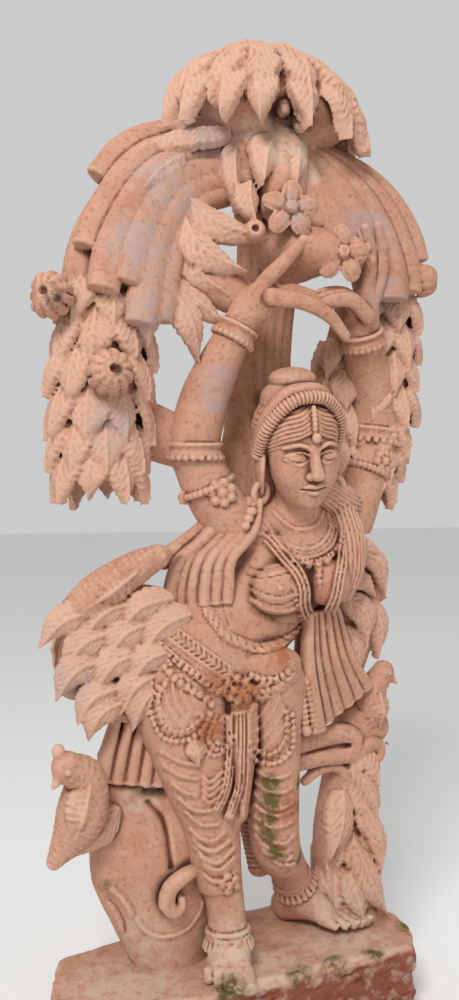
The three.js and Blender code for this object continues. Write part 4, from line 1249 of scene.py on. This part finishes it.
def sample(values, points):
    """The values of a block at points between its cells."""
    first = np.clip(np.floor(points).astype(int), 0, np.array(values.shape) - 2)
    share = np.clip(points - first, 0, 1)
    total = np.zeros(len(points))
    for corner in np.ndindex(2, 2, 2):
        weight = np.prod(np.where(corner, share, 1 - share), axis=1)
        total += weight * values[tuple((first + corner).T)]
    return total


def mesh_of(stone):
    """A closed, smooth mesh of a block's stone, with its hollows and creases (which drive painted shade
    and highlight), its weathering and its painted recess shade as attributes.
    """
    field = stone.field
    for axis in range(3):
        shape = [1, 1, 1]
        shape[axis] = -1
        places = stone.axes[axis].reshape(shape)
        blend = 0 if axis == 2 else 5
        field[:] = -smooth_min(-field, places - LIMIT_LOW[axis], blend)
        field[:] = -smooth_min(-field, LIMIT_HIGH[axis] - places, 5)
    for axis in range(3):
        edge = [slice(None)] * 3
        for end in (0, -1):
            edge[axis] = end
            field[tuple(edge)] = np.maximum(field[tuple(edge)], 0.5)
    grid = openvdb.FloatGrid(FAR)
    grid.copyFromArray(field)
    points, triangles, quads = grid.convertToPolygons(isovalue=0.0, adaptivity=stone.adaptivity)
    mesh = bpy.data.meshes.new(stone.name)
    mesh.vertices.add(len(points))
    mesh.vertices.foreach_set("co", ((points * stone.cell + stone.low) * MM).astype(np.float32).ravel())
    corners = np.concatenate([triangles[:, ::-1].ravel(), quads[:, ::-1].ravel()])
    sizes = np.concatenate([np.full(len(triangles), 3), np.full(len(quads), 4)])
    mesh.loops.add(len(corners))
    mesh.loops.foreach_set("vertex_index", corners.astype(np.int32))
    mesh.polygons.add(len(sizes))
    mesh.polygons.foreach_set("loop_start", (np.cumsum(sizes) - sizes).astype(np.int32))
    mesh.update(calc_edges=True)
    mesh.validate()
    mesh.shade_smooth()
    places = points * stone.cell + stone.low
    # How crowded the stone is round each point: the wide share drives painted shade in hollows, and the
    # narrow one drives painted shade in creases and a painted highlight on ridges.
    values = {"hollow_shade": sample(crowding(stone, 15), points), "groove": sample(crowding(stone, 4), points)}
    values.update(weathering_and_recess_shade(places))
    for name, value in values.items():
        mesh.attributes.new(name, "FLOAT", "POINT").data.foreach_set("value", value.astype(np.float32))
    piece = bpy.data.objects.new(stone.name, mesh)
    bpy.context.collection.objects.link(piece)
    return piece


# Where time has marked the stone, and where shade is painted into recesses: the kind of mark, its middle,
# and how far it spreads.
MARKS = [
    ("lichen", (-50, -30, 1335), 60), ("lichen", (-120, -50, 1250), 75),
    ("lichen", (-165, -60, 1150), 70),
    ("lichen", (-150, -60, 1060), 55), ("lichen", (-30, -60, 960), 60), ("lichen", (62, -100, 1225), 40),
    ("lichen", (215, -50, 1220), 70), ("lichen", (-205, -60, 900), 50), ("lichen", (240, -50, 1120), 60),
    ("lichen", (-262, -30, 545), 45),
    ("bleach", (58, -50, 1335), 58), ("bleach", (105, -50, 1320), 52), ("bleach", (20, -40, 1350), 40),
    ("bleach", (80, -60, 965), 42), ("bleach", (0, -90, 120), 120), ("bleach", (170, -60, 110), 110),
    ("bleach", (-180, -60, 110), 120), ("bleach", (-30, -70, 150), 50), ("bleach", (-150, 0, 360), 45),
    # Painted shade: dark patches in the hollow under the crown, in the buds' holes and in the gaps behind
    # her head and body.
    ("recess_shade", (82, -60, 1385), 52), ("recess_shade", (60, -20, 955), 40), ("recess_shade", (-292, -60, 1072), 24),
    ("recess_shade", (-212, -98, 972), 12), ("recess_shade", (10, 20, 700), 60), ("recess_shade", (100, 20, 940), 60),
    ("moss", (30, -80, 378), 22), ("moss", (30, -82, 350), 24), ("moss", (24, -82, 322), 24),
    ("moss", (26, -82, 296), 24), ("moss", (76, -70, 370), 18), ("moss", (84, -70, 330), 18),
    ("moss", (40, -80, 270), 22), ("moss", (84, -60, 250), 20), ("moss", (-52, -128, 104), 34),
    ("moss", (60, -122, 108), 30), ("moss", (120, -120, 108), 30), ("moss", (190, -112, 106), 26),
    ("moss", (284, -60, 96), 26), ("moss", (-288, -60, 100), 24), ("moss", (-196, -14, 236), 20),
    ("rust", (-20, -96, 512), 44), ("rust", (-72, -92, 466), 36), ("rust", (46, -92, 566), 30),
    ("rust", (-66, -96, 530), 34), ("rust", (70, -90, 600), 30), ("rust", (60, -90, 335), 34),
]


def weathering_and_recess_shade(places):
    """How much of each weathering mark, and of the painted shade in recesses, lies at each place, from 0
    to 1.
    """
    values = {kind: np.zeros(len(places)) for kind in ("lichen", "bleach", "recess_shade", "moss", "rust")}
    for kind, middle, reach in MARKS:
        distance = np.linalg.norm(places - np.array(middle), axis=1)
        values[kind] = np.maximum(values[kind], np.clip(1.4 * (1 - distance / reach), 0, 1))
    broken = np.clip((-places[:, 1] - 78) / 14, 0, 1) * np.clip((99 - places[:, 2]) / 8, 0, 1)
    values["broken"] = broken
    return values


# The sandstone, and the marks on it, one of them painted shade in recesses: how much of a mark shows, its
# colour, and how ragged its edge is.
MARK_LOOKS = {
    "lichen": (0.62, (0.40, 0.31, 0.30)),
    "bleach": (0.62, (0.60, 0.47, 0.37)),
    "rust": (0.8, (0.36, 0.12, 0.04)),
    "moss": (0.95, (0.10, 0.085, 0.02)),
    # Painted shade: near black for holes and the gaps between parts.
    "recess_shade": (0.92, (0.055, 0.03, 0.018)),
}


def sandstone():
    material = bpy.data.materials.new("sandstone")
    material.use_nodes = True
    nodes, links = material.node_tree.nodes, material.node_tree.links
    shader = nodes["Principled BSDF"]
    shader.inputs["Specular IOR Level"].default_value = 0.2
    where = nodes.new("ShaderNodeTexCoord").outputs["Object"]

    def noise(scale, detail=4.0, rough=0.55):
        node = nodes.new("ShaderNodeTexNoise")
        node.inputs["Scale"].default_value = scale
        node.inputs["Detail"].default_value = detail
        node.inputs["Roughness"].default_value = rough
        links.new(where, node.inputs["Vector"])
        return node.outputs["Fac"]

    def ramp(value, low, high, top=1.0, bottom=0.0):
        node = nodes.new("ShaderNodeMapRange")
        node.inputs["From Min"].default_value = low
        node.inputs["From Max"].default_value = high
        node.inputs["To Min"].default_value = bottom
        node.inputs["To Max"].default_value = top
        links.new(value, node.inputs["Value"])
        return node.outputs["Result"]

    def product(first, second):
        node = nodes.new("ShaderNodeMath")
        node.operation = "MULTIPLY"
        links.new(first, node.inputs[0])
        links.new(second, node.inputs[1])
        return node.outputs["Value"]

    def attribute(name):
        node = nodes.new("ShaderNodeAttribute")
        node.attribute_name = name
        return node.outputs["Fac"]

    def blend(factor, first, second):
        node = nodes.new("ShaderNodeMix")
        node.data_type = "RGBA"
        links.new(factor, node.inputs["Factor"])
        for socket, colour in ((node.inputs[6], first), (node.inputs[7], second)):
            if isinstance(colour, tuple):
                socket.default_value = (*colour, 1)
            else:
                links.new(colour, socket)
        return node.outputs[2]

    colour = blend(ramp(noise(7), 0.35, 0.65), (0.45, 0.215, 0.135), (0.54, 0.29, 0.195))
    colour = blend(ramp(noise(34), 0.42, 0.72), colour, (0.55, 0.31, 0.215))
    colour = blend(ramp(noise(150, 3.0), 0.52, 0.72, 0.6), colour, (0.25, 0.105, 0.06))
    # Painted highlight: paler colour on ridges and edges, where the fine crowding share is low.
    colour = blend(ramp(attribute("groove"), 0.47, 0.38, 0.6), colour, (0.68, 0.43, 0.315))
    ragged = ramp(noise(55, 6.0, 0.7), 0.36, 0.6)
    # Besides lichen, bleach, rust and moss, one kind of mark is painted shade: near black in holes and in
    # the gaps between parts.
    for kind, (strength, tint) in MARK_LOOKS.items():
        edge = product(attribute(kind), ragged)
        colour = blend(ramp(edge, 0.08, 0.6, strength), colour, tint)
    streaks = blend(ramp(noise(26, 6.0, 0.7), 0.5, 0.64), (0.235, 0.075, 0.045), (0.46, 0.30, 0.24))
    colour = blend(ramp(attribute("broken"), 0.2, 0.8), colour, streaks)
    # Painted shade: dark red-brown in creases and grooves, where the fine crowding share is high.
    colour = blend(ramp(attribute("groove"), 0.515, 0.61, 0.85), colour, (0.17, 0.055, 0.028))
    # Painted shade: near black deep in hollows and undercuts, where the stone is most crowded.
    colour = blend(ramp(attribute("hollow_shade"), 0.55, 0.72, 0.95), colour, (0.06, 0.018, 0.01))
    links.new(colour, shader.inputs["Base Color"])
    links.new(ramp(noise(90), 0.3, 0.7, 0.95, 0.75), shader.inputs["Roughness"])
    bump = nodes.new("ShaderNodeBump")
    bump.inputs["Strength"].default_value = 0.55
    bump.inputs["Distance"].default_value = 0.002
    links.new(noise(380, 6.0, 0.72), bump.inputs["Height"])
    links.new(bump.outputs["Normal"], shader.inputs["Normal"])
    return material


def stage():
    """The pale floor."""
    bpy.ops.mesh.primitive_plane_add(size=40, location=(0, 0, CAD_LOW.z))
    floor = bpy.context.object
    floor.name = "floor"
    material = bpy.data.materials.new("floor_white")
    material.use_nodes = True
    shader = material.node_tree.nodes["Principled BSDF"]
    shader.inputs["Base Color"].default_value = (0.85, 0.85, 0.84, 1)
    shader.inputs["Roughness"].default_value = 0.9
    floor.data.materials.append(material)


def light(name, place, size, power, colour=(1, 1, 1)):
    """A soft square lamp aimed at the statue's middle."""
    lamp = bpy.data.lights.new(name, "AREA")
    lamp.size = size
    lamp.energy = power
    lamp.color = colour
    holder = bpy.data.objects.new(name, lamp)
    holder.location = place
    aim = Vector((0, 0, 0.75)) - holder.location
    holder.rotation_euler = aim.to_track_quat("-Z", "Y").to_euler()
    bpy.context.collection.objects.link(holder)


def studio():
    world = bpy.data.worlds.new("studio")
    world.use_nodes = True
    background = world.node_tree.nodes["Background"]
    background.inputs["Color"].default_value = (1, 1, 1, 1)
    background.inputs["Strength"].default_value = 0.6
    bpy.context.scene.world = world
    light("key", (-1.9, -2.3, 3.3), 1.2, 112)
    light("fill", (2.6, -2.0, 1.6), 2.4, 10)
    bpy.context.scene.view_settings.view_transform = "Standard"


def camera():
    """Level, a little over half the statue's height up, and turned to its left."""
    eye = bpy.data.cameras.new("camera")
    eye.lens = LENS
    eye.sensor_width = 36
    holder = bpy.data.objects.new("camera", eye)
    holder.location = EYE * MM
    holder.rotation_euler = (math.pi / 2, 0, -PHOTO_AZIMUTH)
    bpy.context.collection.objects.link(holder)
    bpy.context.scene.camera = holder


BUILDERS = (
    plinth, body, arms, head, left_bough, right_bough, crown, middle_leaves, hip_side, low_plant,
    right_plants, scarves,
)
stone_material = sandstone()
with ThreadPoolExecutor(4) as workers:
    stones = list(workers.map(lambda build: build(), BUILDERS))
for stone in stones:
    piece = mesh_of(stone)
    piece.data.materials.append(stone_material)
    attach(piece, "root")
    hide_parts(NODE)
    print(piece.name, sum(len(p.vertices) - 2 for p in piece.data.polygons), "triangles")
stage()
studio()
camera()
